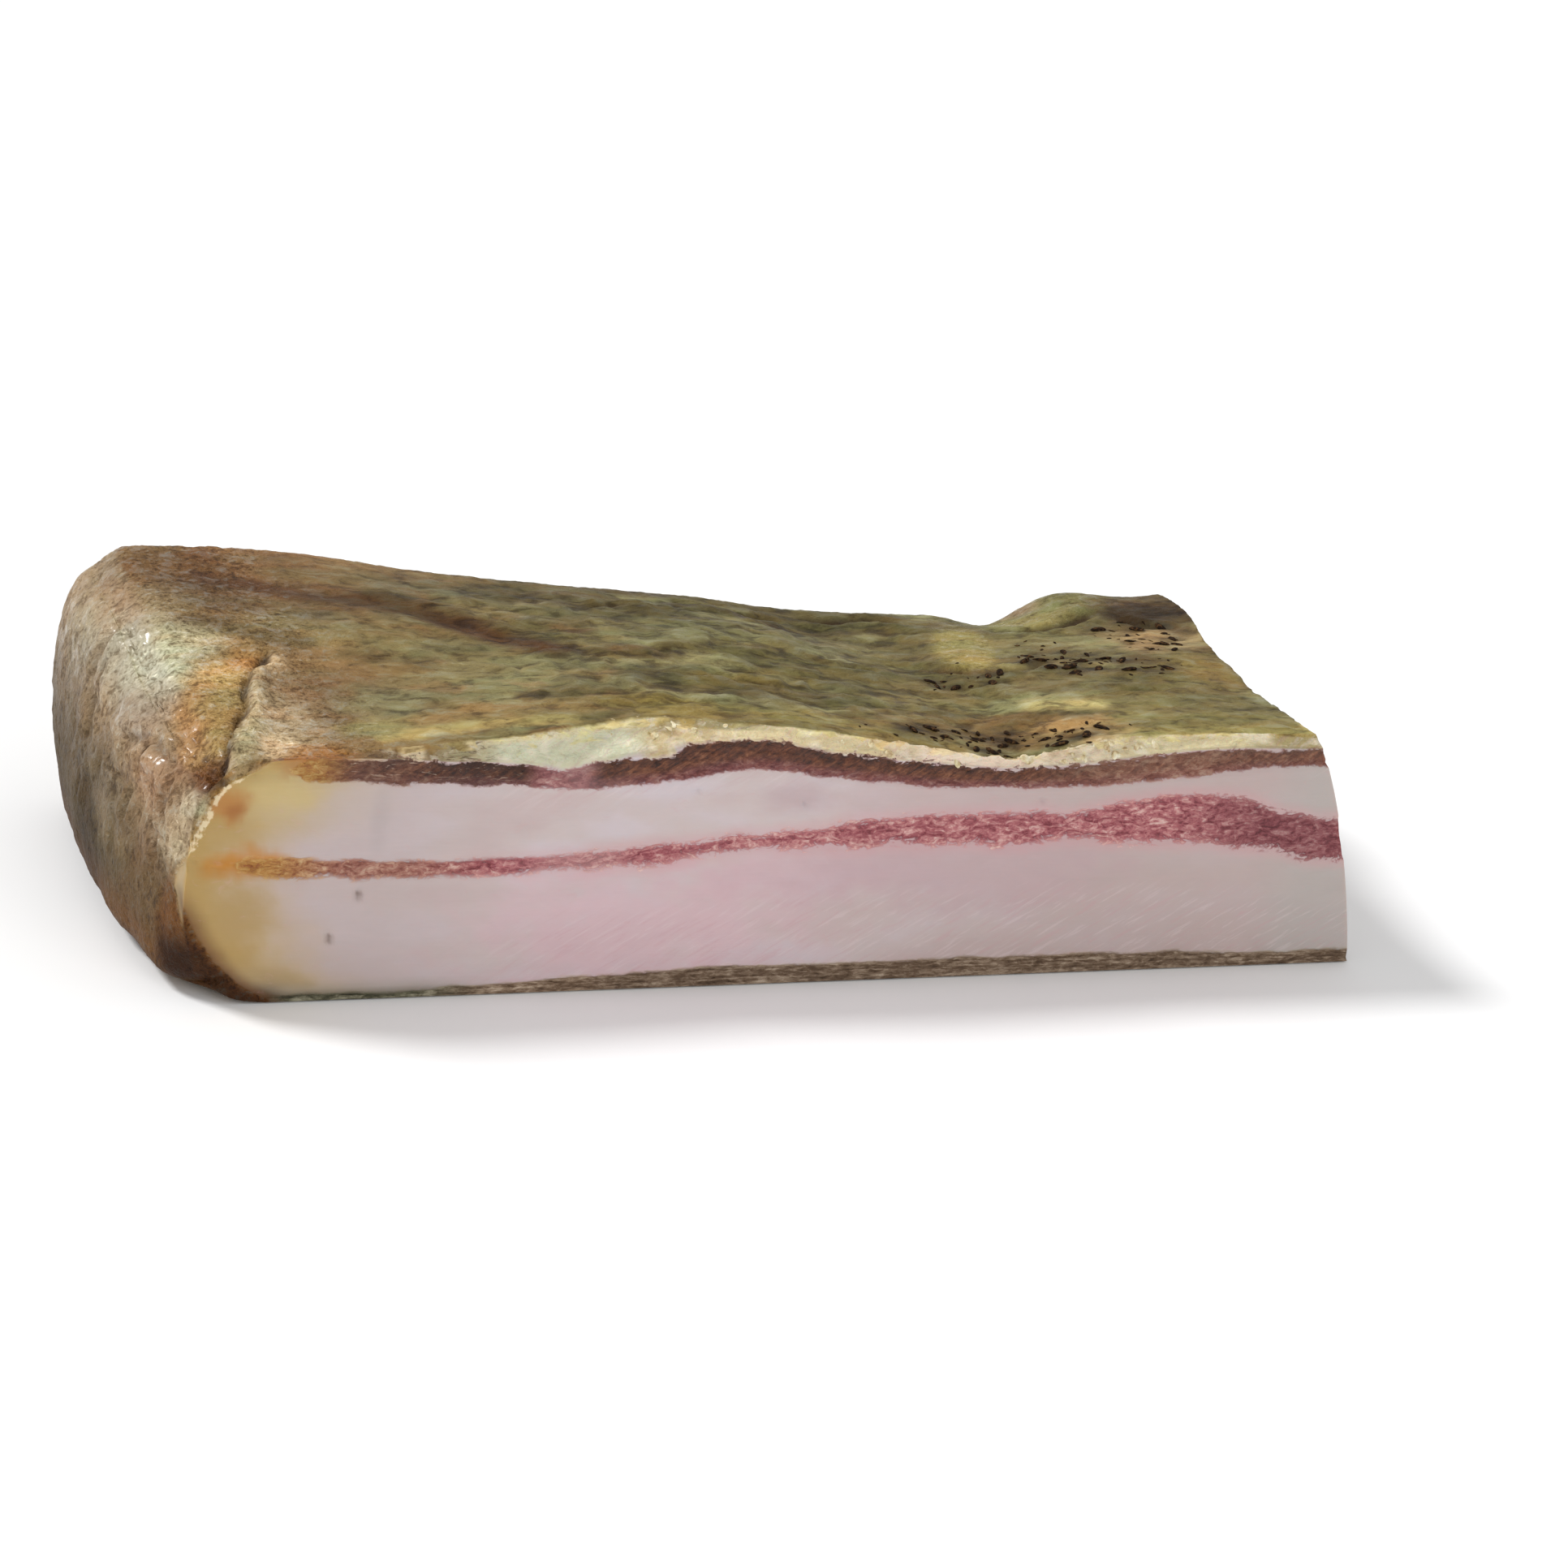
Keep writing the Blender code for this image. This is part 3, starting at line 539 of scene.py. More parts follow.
class Surface:
    """The slab's points in millimetres, with where each lies, what covers it and its colour so far."""

    def __init__(self, block):
        mesh = block.data
        counts = np.array([a * b for a, b in CELLS])
        cells = read(mesh, mesh.vertices, "co", 3) / np.array([LENGTH, WIDTH, HEIGHT]) * counts
        self.cell = np.rint(cells).astype(int)
        t = self.cell / counts
        u = 0.66 * t[:, 0] + 0.34 * t[:, 0] ** 2
        v = t[:, 1] - 0.3 * np.sin(2 * math.pi * t[:, 1]) / (2 * math.pi)
        self.row = np.interp(self.cell[:, 2], CELL_ROWS, LAYER_ROWS)
        self.mesh = mesh
        self.points = slab_surface(u, v, self.row) * 1000
        self.store()
        self.normals = read(mesh, mesh.vertex_normals, "vector", 3)
        self.front = self.cell[:, 1] == 0
        self.right = self.cell[:, 0] == counts[0]
        self.layers = layer_heights(self.points[:, 0] / 1000, np.maximum(self.points[:, 1] / 1000, 0)) * 1000
        self.colour = np.zeros((len(t), 3))

    def store(self):
        self.mesh.vertices.foreach_set("co", (self.points / 1000).ravel())
        self.mesh.update()

    def blob(self, centre, reach, wobble=0.3, soft=0.35):
        """A soft-edged patch round a place, whose border wanders."""
        away = np.linalg.norm((self.points - np.array(centre)) / np.array(reach), axis=1)
        return smooth((1 + soft - away - wobble * self.wander) / (2 * soft))

    def band(self, line, width, wobble=0.3, soft=0.5):
        """A soft-edged stripe along a line, whose border wanders."""
        gap = near_line(self.points, self.normals, line)[0] / width
        return smooth((1 + soft - gap - wobble * self.wander) / (2 * soft))

    def swelling(self, size, soft=0.3):
        """The yellow swelling on top, as a slanted oval of a given size."""
        x0, y0, along, across = SWELLING
        x, y = self.points[:, 0] - x0, self.points[:, 1] - y0
        away = np.hypot((x - 0.26 * y) / along, y / across) / size
        return smooth((1 + soft - away - 0.12 * self.wander) / (2 * soft))

    def lay(self, mask, colour, strength=1.0):
        """Lays a colour over what is there, as strongly as the mask says."""
        share = (mask * strength)[:, None]
        self.colour = self.colour * (1 - share) + np.array(linear(colour)) * share

    def paint(self, marks, within=1.0):
        """Lays a table's marks, one after the other."""
        for mark in marks:
            if len(mark) == 12:
                self.lay(within * self.blob(mark[:3], mark[3:6], *mark[6:8]), mark[8:11], mark[11])
            else:
                self.lay(within * self.band(*mark[:4]), *mark[4:])

    def fade(self, value, *steps, within=1.0):
        """Lays a colour for each step, which comes in as the value goes from its start to its end."""
        for start, end, *colour, strength in steps:
            self.lay(within * ease(value, start, end), colour, strength)

    def shade(self, mask, amount):
        """Makes what is there darker or lighter, by one amount or one for each of red, green and blue."""
        self.colour *= 1 + mask[:, None] * (np.array([amount]) - 1)

    def write(self, name, values):
        self.mesh.attributes.new(name, "FLOAT", "POINT").data.foreach_set("value", values)


def linear(colour):
    """Linear light of a screen colour from 0 to 255."""
    return [((c / 255 + 0.055) / 1.055) ** 2.4 if c > 10 else c / 255 / 12.92 for c in colour]


def find_masks(s):
    """Works out what covers each point and stores what the finishes read."""
    x, y, z = s.points.T
    nx, ny, nz = s.normals.T
    s.wander = 0.85 * fractal(s.points, (9, 6, 6), 4, 31) + 0.45 * fractal(s.points, (3, 2, 2), 3, 33)
    s.up = ease(nz, 0.25, 0.65)
    s.end = smooth((-nx - 0.30) / 0.35) * ~s.front
    s.back = ease(ny, 0.35, 0.7)
    s.base = s.points[:, 2] < 0.05

    rim = np.interp(z, *np.array(CUT_RIM).T)
    s.rim_gap = np.where(s.front, x - rim, 99.0)
    rear_rim = 98.6 - 9 * ease(z, 40, 54) ** 2 - 3 * ease(z, 4, 0)
    front_cut = np.clip(0.5 + (x - rim) / 2.4, 0, 1) * s.front
    right_cut = np.clip(0.5 + (rear_rim - y) / 2.4, 0, 1) * s.right
    right_cut *= 1 - ease(s.row, 15.2, 16) * ease(y, 4, 12)
    wrap = np.interp(z, (15, 19, 23, 27, 30, 32), (0, 1.0, 2.2, 2.2, 0.8, 0))
    end_cut = np.clip(0.5 + (wrap - y) / 1.6, 0, 1) * (wrap > 0) * (x < 8) * ~s.front
    s.cut = np.maximum(np.maximum(front_cut, right_cut), end_cut)
    s.rim = bell(s.rim_gap - 0.5, 1.1) * ease(z, 27, 31) * ease(z, 49, 46)
    ragged = bell(y - 1000 * bevel(x / 1000), 1.6) * s.up * ~s.front
    s.rim = np.maximum(s.rim, ragged * np.interp(x, *np.array(RAGGED).T))

    foot, top = s.layers[5], s.layers[9]
    raised = z - 0.8 * bell(x - 110, 14)
    s.streak = np.minimum(raised - foot - 0.3, top - raised - 0.3 - 0.6 * bell(x - 201, 9))
    thin = 1.1 * fractal(s.points, (11, 11, 40), 3, seed=5)
    s.streak += thin * smooth((top - foot) / 6)
    low, high = s.layers[12] + 0.6 - 0.4 * bell(x - 71, 5), s.layers[15] - np.interp(x, *np.array(FRINGE).T)
    s.dark = np.minimum(z - low, high - z) + 0.5 * fractal(s.points, (7, 7, 30), 3, seed=9)
    s.dark_rise = np.clip((z - low) / np.maximum(high - low, 0.5), 0, 1)
    s.bevel = np.clip((z - high) / np.maximum(s.layers[17] - high, 0.8), 0, 1)
    skin = 1.5 + 2.6 * ease(x, 40, 110) - 0.8 * ease(x, 190, 240)
    s.rind = skin - z + 0.5 * fractal(s.points, (10, 10, 10), 3, seed=14)

    bent = np.stack([fractal(s.points, (6, 6, 6), 2, seed) for seed in (21, 23, 25)], axis=1)
    gap, along, side = near_line(s.points + 1.3 * bent, s.normals, CREASE)
    s.crease_gap, s.crease_along, s.crease_side = gap, along, side
    # The groove mask also darkens the crust in the finish, as painted shade in the folds.
    s.groove = bell(gap, 1.0 + 0.8 * along) * smooth(along * 7)


def shape_crust(s):
    """How far the natural surface stands out, in millimetres."""
    p = s.points
    x, y, z = p.T
    swell = np.array([noise.noise(v) for v in (p * np.array([0.6, 1, 1]) / (CRUST_WAVE * 1000)).tolist()])
    warp = np.stack([fractal(p, (9, 9, 9), 2, seed) for seed in (50, 52, 54)], axis=1)
    s.skin = np.maximum(s.end, smooth((46 - x + 8 * s.wander) / 24))
    calm = np.maximum(s.swelling(1.15), s.blob((212, 86, 48), (18, 10, 12), 0.1, 0.3))
    s.skin = np.maximum(s.skin, 0.55 * calm)
    rough = s.skin * (1 - 0.85 * calm)
    top = s.up * (1 - s.skin)
    fibres = 0.34 * fractal(p + 2.5 * warp, (9, 4.5, 4.5), 3, 3, 1.0)
    pillows = smooth(cell_gap(p + 4 * warp, (15, 8, 10), 2) / 0.55)
    pillowed = top * ease(x, 45, 85) * ease(x, 205, 180)
    pillowed *= ease(y, 6, 18) * ease(y, 96, 72)
    even = 1 - 0.85 * np.maximum(s.swelling(1.3), s.blob((213, 86, 48), (17, 9, 12)))
    even *= 1 - 0.75 * s.band(YELLOW_STREAK, 6.0, 0.2, 0.8)
    top, pillowed = top * even * (1 - 0.65 * ease(y, 78, 92)), pillowed * even
    grain = (0.20 - 0.10 * s.end) * fractal(p, (2.4, 2.2, 2.4), 4, 29, 0.8)
    wrinkles = fractal(p + 4 * warp, (9, 6, 12), 4, 12, 0.9)
    lines = bell(wrinkles, 0.06) * ease(z, 20, 34)
    creased = bell(fractal(p + 3 * warp, (4.5, 3.0, 4.0), 3, 37), 0.10) * ease(z, 26, 36)
    foot = (0.4 + 0.6 * ease(z, 14, 30)) * (1 - 0.6 * ease(y, 56, 76))
    out = CRUST_SWELL * 1000 * swell + top * fibres + 0.7 * pillowed * (pillows - 0.6) + rough * grain
    out += s.end * foot * (0.95 * wrinkles - 0.5 * lines - 0.45 * creased)
    out += s.back * 0.45 * fractal(p, (14, 4, 4), 4, 23) + 0.16 * fractal(p, (1.7, 1.3, 1.3), 3, 27)
    s.lump = top * fibres / 0.4 + pillowed * (pillows - 0.6) * 1.4
    s.lump += s.end * foot * (wrinkles - lines - 0.5 * creased)

    away = s.crease_gap * s.crease_side
    strength = smooth(s.crease_along * 6)
    width = np.interp(s.crease_along, *np.array(PATCH_WIDTH).T) + 1.5 * s.wander
    s.patch = smooth((width - away) / 6) * ease(away, -0.3, 0.5) * smooth(s.crease_along * 5 + 0.15)
    s.patch *= ease(s.crease_along, 1, 0.94)
    out -= 0.5 * s.patch * s.skin * grain
    out -= strength * (2.4 + 1.4 * s.crease_along) * bell(s.crease_gap, 0.9 + 0.4 * s.crease_along)
    out += strength * 1.3 * bell(away + 2.4, 2.4) * (1 + 0.5 * fractal(p, (2, 2, 2), 2, 33))
    out -= s.patch * (0.8 + 0.9 * ease(s.crease_along, 0.5, 0.9))
    out -= 1.4 * s.blob((1.6, 4.5, 44.6), (3.4, 3.6, 3.0), 0.2, 0.5)
    loose = s.blob((-3, 6, 33), (4, 9, 9), 0.4)
    out += 0.5 * loose * fractal(p, (1.8, 1.8, 2.4), 3, 35)
    for line, depth, width in FOLDS:
        gap, along = near_line(p, s.normals, line)[:2]
        fade = smooth(along * 5) * smooth((1 - along) * 5) * (1 - s.cut)
        groove = bell(gap, width) * fade
        out += -depth * groove + 0.5 * depth * bell(gap - 2 * width, 1.3 * width) * fade
        s.groove = np.maximum(s.groove, (0.8 - 0.35 * s.end) * groove * smooth(depth - 0.4))
    return out * smooth(z / 7) * smooth(np.where(s.up > 0.5, 1, y / 2))


def shape_cut(s):
    """How far a cut face stands out: lean and rind lie back, and torn places are lumpy."""
    p = s.points
    x, z = p[:, 0], p[:, 2]
    lean = ease(s.streak, -0.4, 0.6)
    dark = ease(s.dark, -0.3, 0.5)
    out = 0.10 * fractal(p, (18, 18, 14), 3, 41)
    out -= lean * (0.55 + 0.30 * fractal(p, (1.6, 1.6, 1.1), 3, 43))
    out -= dark * (0.60 + 0.34 * fractal(p, (1.8, 1.8, 0.9), 3, 45))
    torn = smooth(s.bevel * 6) * (1 + 1.2 * bell(x - 92, 7) + 1.2 * bell(x - 183, 12))
    out += torn * 0.60 * fractal(p, (3.2, 2.2, 2.2), 4, 47)
    rind = ease(s.rind, -0.3, 0.5)
    out += rind * (-0.25 + 0.45 * fractal(p, (5, 2, 1.2), 4, 49))
    rim = bell(s.rim_gap, 1.5) * ease(z, 22, 28)
    out += rim * (0.35 + 0.6 * fractal(p, (1.8, 1.8, 1.8), 3, 51))
    out -= sum(0.7 * bell(np.hypot(x - a, (z - b) / 1.4), 0.55) for a, b in NICKS) * s.front
    return out


def press_out(s):
    """Moves each point by its relief: cut faces straight out, the rest along their normals."""
    crust, cut = shape_crust(s), shape_cut(s)
    straight = s.front & (s.row <= 15.01)
    edge = s.front | s.right
    move = s.normals * np.where(edge, 0.6 * cut * s.cut + crust * (1 - s.cut), crust)[:, None]
    move[straight] = np.array([0, -1, 0]) * (cut * s.cut + crust * (1 - s.cut))[straight, None]
    across = s.right & ~s.front & (s.row <= 15.01) & (s.cut > 0.5)
    move[across] = np.array([1, 0, 0]) * cut[across, None]
    corner = s.right & s.front
    move[corner] = np.array([0.5, -0.5, 0]) * np.minimum(cut, 0)[corner, None]
    move[s.base] = 0
    fringe = np.interp(s.points[:, 0], *np.array(RAGGED).T) * (s.front & (s.row > 16.5))
    move[:, 2] += fringe * (0.25 + 0.9 * fractal(s.points, (2.4, 2, 2), 3, 57))
    s.points = s.points + move
    s.points[:, 2] = np.maximum(s.points[:, 2], 0)


def paint_crust(s):
    """Broad colours of the natural surface."""
    x, y, z = s.points.T
    p = s.points
    one = np.ones(len(x))
    broad = fractal(p, (26, 10, 9), 4, 61)
    other = fractal(p, (18, 8, 7), 4, 63)
    third = fractal(p, (13, 6, 6), 4, 65)
    s.lay(one, (138, 114, 80))
    s.fade(x, (34, 70, 121, 108, 74, 1), (85, 125, 108, 100, 66, 1), (190, 220, 120, 108, 70, 1))
    s.lay(ease(broad, 0.05, 0.35), (84, 70, 44), 0.6)
    s.lay(ease(other, 0.1, 0.4) * ease(x, 40, 70), (142, 139, 106), 0.85)
    s.lay(smooth((-other - 0.12) / 0.3) * ease(x, 60, 90), (84, 78, 48), 0.75)
    s.lay(ease(third, 0.15, 0.45) * ease(x, 120, 80), (148, 116, 84), 0.5)
    # Left part: brown, with a darker streak that runs down it.
    s.paint(LEFT_MARKS)
    # Middle: grey-green swells between darker ones, and ochre near the cut.
    s.paint(MIDDLE_MARKS)
    # Right part: a green swelling, a dark corner, and brown, pinkish and yellow places between them.
    s.paint(SWELLING_MARKS)
    patchy, streaky = ease(third, -0.1, 0.2), smooth(fractal(p, (6, 2.2, 4), 3, 67) / 0.3)
    s.lay(s.blob((236, 90, 49), (10, 4, 10), 0.5) * patchy, (96, 82, 58), 0.8)
    s.lay(s.blob((232, 80, 49), (14, 12, 14), 0.4) * streaky, (116, 94, 66), 0.6)
    s.paint(RIGHT_MARKS)
    s.lay(s.blob((224, 72, 49), (7, 4, 8), 0.6) * patchy, (128, 110, 84), 0.8)
    s.paint(EDGE_MARKS)
    s.lay(s.swelling(1.4, 0.4), (106, 92, 58), 0.8)
    s.lay(s.swelling(0.95, 0.30), (154, 140, 86), 0.95)
    s.paint(CORNER_MARKS)
    s.fade(z, (40, 26, 112, 98, 68, 0.6), (14, 2, 88, 72, 48, 0.7), within=s.back)
    for along, across, reach, amount in EVENED:
        s.shade(bell(x - along, reach) * bell(y - across, 0.7 * reach) * s.up, amount)
    rear = ease(y, 56, 66) * ease(x, 10, 18) * s.up
    s.shade(rear * ease(x, 60, 40), (0.92, 0.82, 0.78))
    s.shade(rear * ease(x, 45, 60) * ease(x, 135, 115), 0.84)
    s.lay(s.band(((66, 58, 55), (72, 53, 54.5), (80, 46, 54.7)), 3.6, 0.4, 0.9), (86, 56, 28), 0.7)
    paint_stains(s)
    paint_end(s)


def paint_stains(s):
    """Darker crust round the cracked pepper."""
    x, y = s.points[:, 0], s.points[:, 1]
    for a, b, size, _ in pepper_places():
        away = np.hypot((x - a * 1000) / 3.0, (y - b * 1000) / 1.2) * 0.0012 / size
        s.lay(bell(away - 0.3 * s.wander, 1.0) * s.up, (36, 22, 8), 0.85)


def paint_end(s):
    """The natural end: pale grey-beige skin with a painted highlight on its upper shoulder, darker low down
    partly by painted shade, with the stained hollow beside its fold.
    """
    x, y, z = s.points.T
    p = s.points
    end = smooth(s.end * 1.3 + ease(x, 3, -6))
    mottle = fractal(p, (8, 8, 10), 3, 71)
    s.lay(end, (144, 128, 106))
    s.fade(z, (36, 26, 104, 92, 72, 1), (24, 12, 100, 88, 68, 1), within=end)
    s.lay(end * smooth(mottle / 0.5) * ease(z, 14, 24), (166, 152, 132), 0.5)
    s.lay(end * ease(mottle, -0.1, -0.6), (122, 100, 78), 0.4)
    s.lay(end * ease(y, 42, 62) * ease(z, 49, 41), (124, 110, 90), 0.75)
    s.lay(s.blob((2, 66, 56), (11, 10, 6), 0.4, 0.7), (140, 116, 92), 0.7)
    s.lay(end * s.blob((-7, 73, 47), (5, 10, 7), 0.4, 0.7), (152, 148, 132), 0.7)
    s.paint(SHOULDER_MARKS)
    s.paint(END_MARKS, end)
    s.fade(z, (17, 7, 122, 84, 36, 0.85), (7, 1, 72, 42, 8, 0.85), within=end)
    s.paint(FLAP_MARKS)
    s.paint(BESIDE_MARKS, s.crease_side < 0)
    s.lay(s.patch, (164, 133, 92))
    olive = bell(s.crease_gap - 4.0, 2.8) * ease(s.crease_along, 0.2, 0.35) * ease(s.crease_along, 0.8, 0.65)
    s.lay(s.patch * olive, (154, 134, 90), 0.7)
    s.lay(s.patch * bell(s.crease_gap - 10.5, 2.6) * smooth(0.9 + mottle), (172, 132, 90), 0.6)
    hollow = smooth(s.crease_gap * s.crease_side)
    s.lay(s.blob((17.5, 42, 54.1), (3.4, 3.4, 4), 0.5, 0.8) * hollow, (172, 122, 74), 0.6)
    # Paler strip beside the fold: the skin's own pale colour, with a painted highlight along the fold's
    # raised lip.
    beside = (s.crease_side < 0) * smooth(s.crease_along * 6) * ease(s.crease_along, 0.9, 0.8)
    s.lay(beside * bell(s.crease_gap - 2.0, 2.4), (214, 192, 166), 0.7)
    s.lay(beside * bell(s.crease_gap - 3.0, 2.0) * ease(s.crease_along, 0.4, 0.6), (180, 176, 152), 0.7)
    # Painted highlight: a pinkish rim along the stained hollow's raised border.
    edge = bell(s.patch - 0.35, 0.2) * ease(s.crease_gap, 5, 7) * ease(z, 46, 42)
    s.lay(edge * (s.crease_side > 0), (184, 156, 140), 0.8)
    # Dark brown in the hollow at the fold's foot: the crust's brown, deepened as painted shade.
    s.lay(s.blob((1.8, 4.5, 44.8), (3.8, 4.4, 3.4), 0.4, 0.6), (112, 72, 36), 0.95)
    # Painted shade: the natural end is made darker and browner low down and towards the back, over its own
    # browner skin there.
    s.shade(end * ease(y, 34, 48) * ease(z, 43, 29), (0.54, 0.50, 0.38))
    s.shade(end * ease(z, 30, 20), (0.70, 0.66, 0.50))
    for place in END_EVENED:
        s.shade(s.blob(place[:3], place[3:6], 0.3, 0.6), place[6])
    s.shade(end * s.blob((-8, 54, 41), (6, 9, 6), 0.3, 0.6), 1.35)
    s.shade(end * s.blob((-9.5, 42, 14), (5, 10, 7), 0.3, 0.6), 0.72)
    s.shade(s.patch, 1.16)
    s.shade(end, (1.02, 0.96, 0.88))
    # Painted highlight: a greenish-white patch on the end's upper shoulder.
    s.lay(s.blob((0, 42, 51.6), (7, 9, 5), 0.3, 0.7), (204, 206, 188), 0.7)
    s.lay(end * s.blob((-2.4, 11, 41), (3, 4, 3), 0.4, 0.6), (140, 104, 72), 0.6)
    s.lay(end * s.blob((-4, 11, 36.5), (3, 5, 4), 0.4, 0.6), (140, 112, 84), 0.6)
    s.paint(FOLD_MARKS)


def paint_cut(s):
    """Broad colours of the fat on the cuts, and of the bevel and rind at their edges."""
    x, y, z = s.points.T
    p = s.points
    kept, s.colour = s.colour, np.zeros_like(s.colour)
    one = np.ones(len(x))
    cloud = fractal(p, (26, 26, 9), 4, 81)
    s.lay(one, (199, 184, 182))
    s.lay(ease(cloud, -0.1, 0.5), (203, 191, 195), 0.8)
    s.lay(smooth((-cloud - 0.05) / 0.5), (194, 174, 172), 0.7)
    s.paint(FAT_MARKS)
    s.lay(ease(x, 110, 200), (180, 161, 157), 0.8)
    s.lay(s.blob((160, 0, 24), (32, 30, 9), 0.5, 0.6), (186, 158, 162), 0.6)
    s.lay(ease(x, 70, 30), (184, 167, 164), 0.7)
    s.lay(ease(x, 224, 240), (176, 168, 163), 0.8)
    s.lay(s.blob((121, 0, 41), (7, 20, 3), 0.4, 0.8), (180, 156, 160), 0.5)
    dry = np.where(s.right & ~s.front, (100 - y) * 1.3, x - np.interp(z, *np.array(CUT_RIM).T))
    dry = dry + 3.0 * s.wander
    s.lay(ease(dry, 38, 12) * ease(z, 30, 40), (192, 174, 146), 0.8)
    s.fade(dry, (28, 8, 184, 158, 112, 0.85), (15, 2, 172, 140, 74, 0.85))
    s.lay(ease(dry, 18, 6) * ease(z, 11, 3), (164, 142, 108), 0.8)
    s.paint(OCHRE_MARKS)
    for a, b in NICKS[:2]:
        s.lay(bell(np.hypot(x - a, (z - b) / 1.3), 0.65) * s.front, (108, 84, 72), 0.85)
    s.lay(s.front * ease(z, 5, 1) * ease(x, 64, 44), (154, 144, 130), 0.8)
    torn = smooth(s.bevel * 8)
    lumps = fractal(p, (4, 3, 3), 3, 85)
    rough = np.maximum(bell(x - 95, 9), np.maximum(bell(x - 181, 16), ease(x, 46, 36)))
    s.lay(torn, (214, 199, 156))
    s.lay(torn * s.blob((70, 2, 50), (21, 12, 10), 0.3), (212, 211, 180))
    s.lay(torn * ease(s.bevel, 0.75, 0.9) * s.blob((68, 4, 52), (26, 12, 10), 0.3), (228, 216, 170), 0.8)
    s.fade(x, (59, 51, 158, 144, 104, 0.85), (49, 41, 134, 104, 66, 0.9), (27, 21, 166, 112, 60, 0.95),
           (13.5, 10.5, 186, 162, 134, 0.95), within=torn)
    s.paint(TORN_MARKS, torn)
    s.fade(x, (218, 230, 164, 148, 98, 0.9), within=torn)
    s.lay(torn * rough * smooth((-lumps - 0.1) / 0.4), (148, 120, 78), 0.6)
    s.lay(torn * ease(lumps, 0.15, 0.55), (240, 230, 206), 0.6)
    s.lay(torn * ease(s.bevel, 0.55, 0.75) * bell(x - 103, 10), (140, 128, 84), 0.85)
    s.lay(s.blob((40, 1.5, 51), (2.6, 2, 1.6), 0.3), (228, 210, 172), 0.9)
    end_cut = s.cut * (x < 8) * ~s.front * (z < 36)
    cut, s.colour = s.colour, kept
    share = np.clip(s.cut * 1.6, 0, 1)[:, None]
    s.colour = kept * (1 - share) + cut * share
    corner = s.blob((-1, 3, 12), (7, 6, 15), 0.15) * np.clip(1 - s.cut * 1.6, 0, 1)
    s.lay(corner, (110, 70, 26), 0.9)
    s.lay(corner * ease(z, 17, 9), (48, 24, 4), 0.95)
    # Dark grey-green along the foot of the long cut: the rind's colour with painted shade where it meets the
    # floor.
    s.lay(s.front * ease(z, 2.4, 0.4) * ease(x, 66, 46), (84, 78, 62), 0.9)
    s.lay(s.front * ease(z, 5, 1) * ease(x, 21, 14), (58, 42, 26), 0.9)
    brown = s.front * ease(z, 27, 18)
    s.lay(brown * smooth((4.6 - 0.6 * s.wander - s.rim_gap) / 5.0), (106, 66, 26), 0.85)
    s.lay(brown * smooth((1.2 * ease(z, 16, 8) - 0.6 * s.wander - s.rim_gap) / 3.5), (54, 28, 8), 0.85)
    s.lay(s.blob((22.0, 0, 49.6), (7, 5, 3.6), 0.4, 0.6) * ~(s.front & (z < 46.5)), (168, 114, 58), 0.9)
    s.lay(end_cut, (176, 156, 124), 0.8)
    s.lay(end_cut * ease(z, 26, 21), (96, 66, 32), 0.8)


def show_on_slab(s):
    for name in SHOWN:
        s.write(name, getattr(s, name).astype(float))
    rgba = np.concatenate([np.clip(s.colour, 0, 1), np.ones((len(s.colour), 1))], axis=1)
    s.mesh.attributes.new("tint", "FLOAT_COLOR", "POINT").data.foreach_set("color", rgba.ravel())


def make_slab():
    block = add_block()
    block.name = block.data.name = "cured_slab"
    s = Surface(block)
    find_masks(s)
    press_out(s)
    s.store()
    s.normals = read(s.mesh, s.mesh.vertex_normals, "vector", 3)
    paint_crust(s)
    paint_cut(s)
    show_on_slab(s)
    deselect()
    block.select_set(True)
    bpy.context.view_layer.objects.active = block
    bpy.ops.object.shade_smooth_by_angle(angle=math.radians(65))
    return block


class Value:
    """A socket that takes part in Python arithmetic: each operation adds its Math node."""

    def __init__(self, finish, socket):
        self.finish, self.socket = finish, socket

    def math(self, operation, *others):
        return self.finish.node("ShaderNodeMath", {"operation": operation}, dict(enumerate((self, *others))))

    def __add__(self, other):
        return self.math("ADD", other)

    def __sub__(self, other):
        return self.math("SUBTRACT", other)

    def __rsub__(self, other):
        return self.finish.node("ShaderNodeMath", {"operation": "SUBTRACT"}, {0: other, 1: self})

    def __mul__(self, other):
        return self.math("MULTIPLY", other)

    def __pow__(self, other):
        return self.math("POWER", other)

    __radd__, __rmul__ = __add__, __mul__

    def at_least(self, other):
        return self.math("MAXIMUM", other)

    def rise(self, low, high):
        """0 below low, 1 above high, and smooth between them."""
        settings = {"interpolation_type": "SMOOTHSTEP"}
        return self.finish.node("ShaderNodeMapRange", settings, {0: self, 1: low, 2: high, 3: 0.0, 4: 1.0})

    def fall(self, low, high):
        """1 below low, 0 above high, and smooth between them."""
        return 1 - self.rise(low, high)


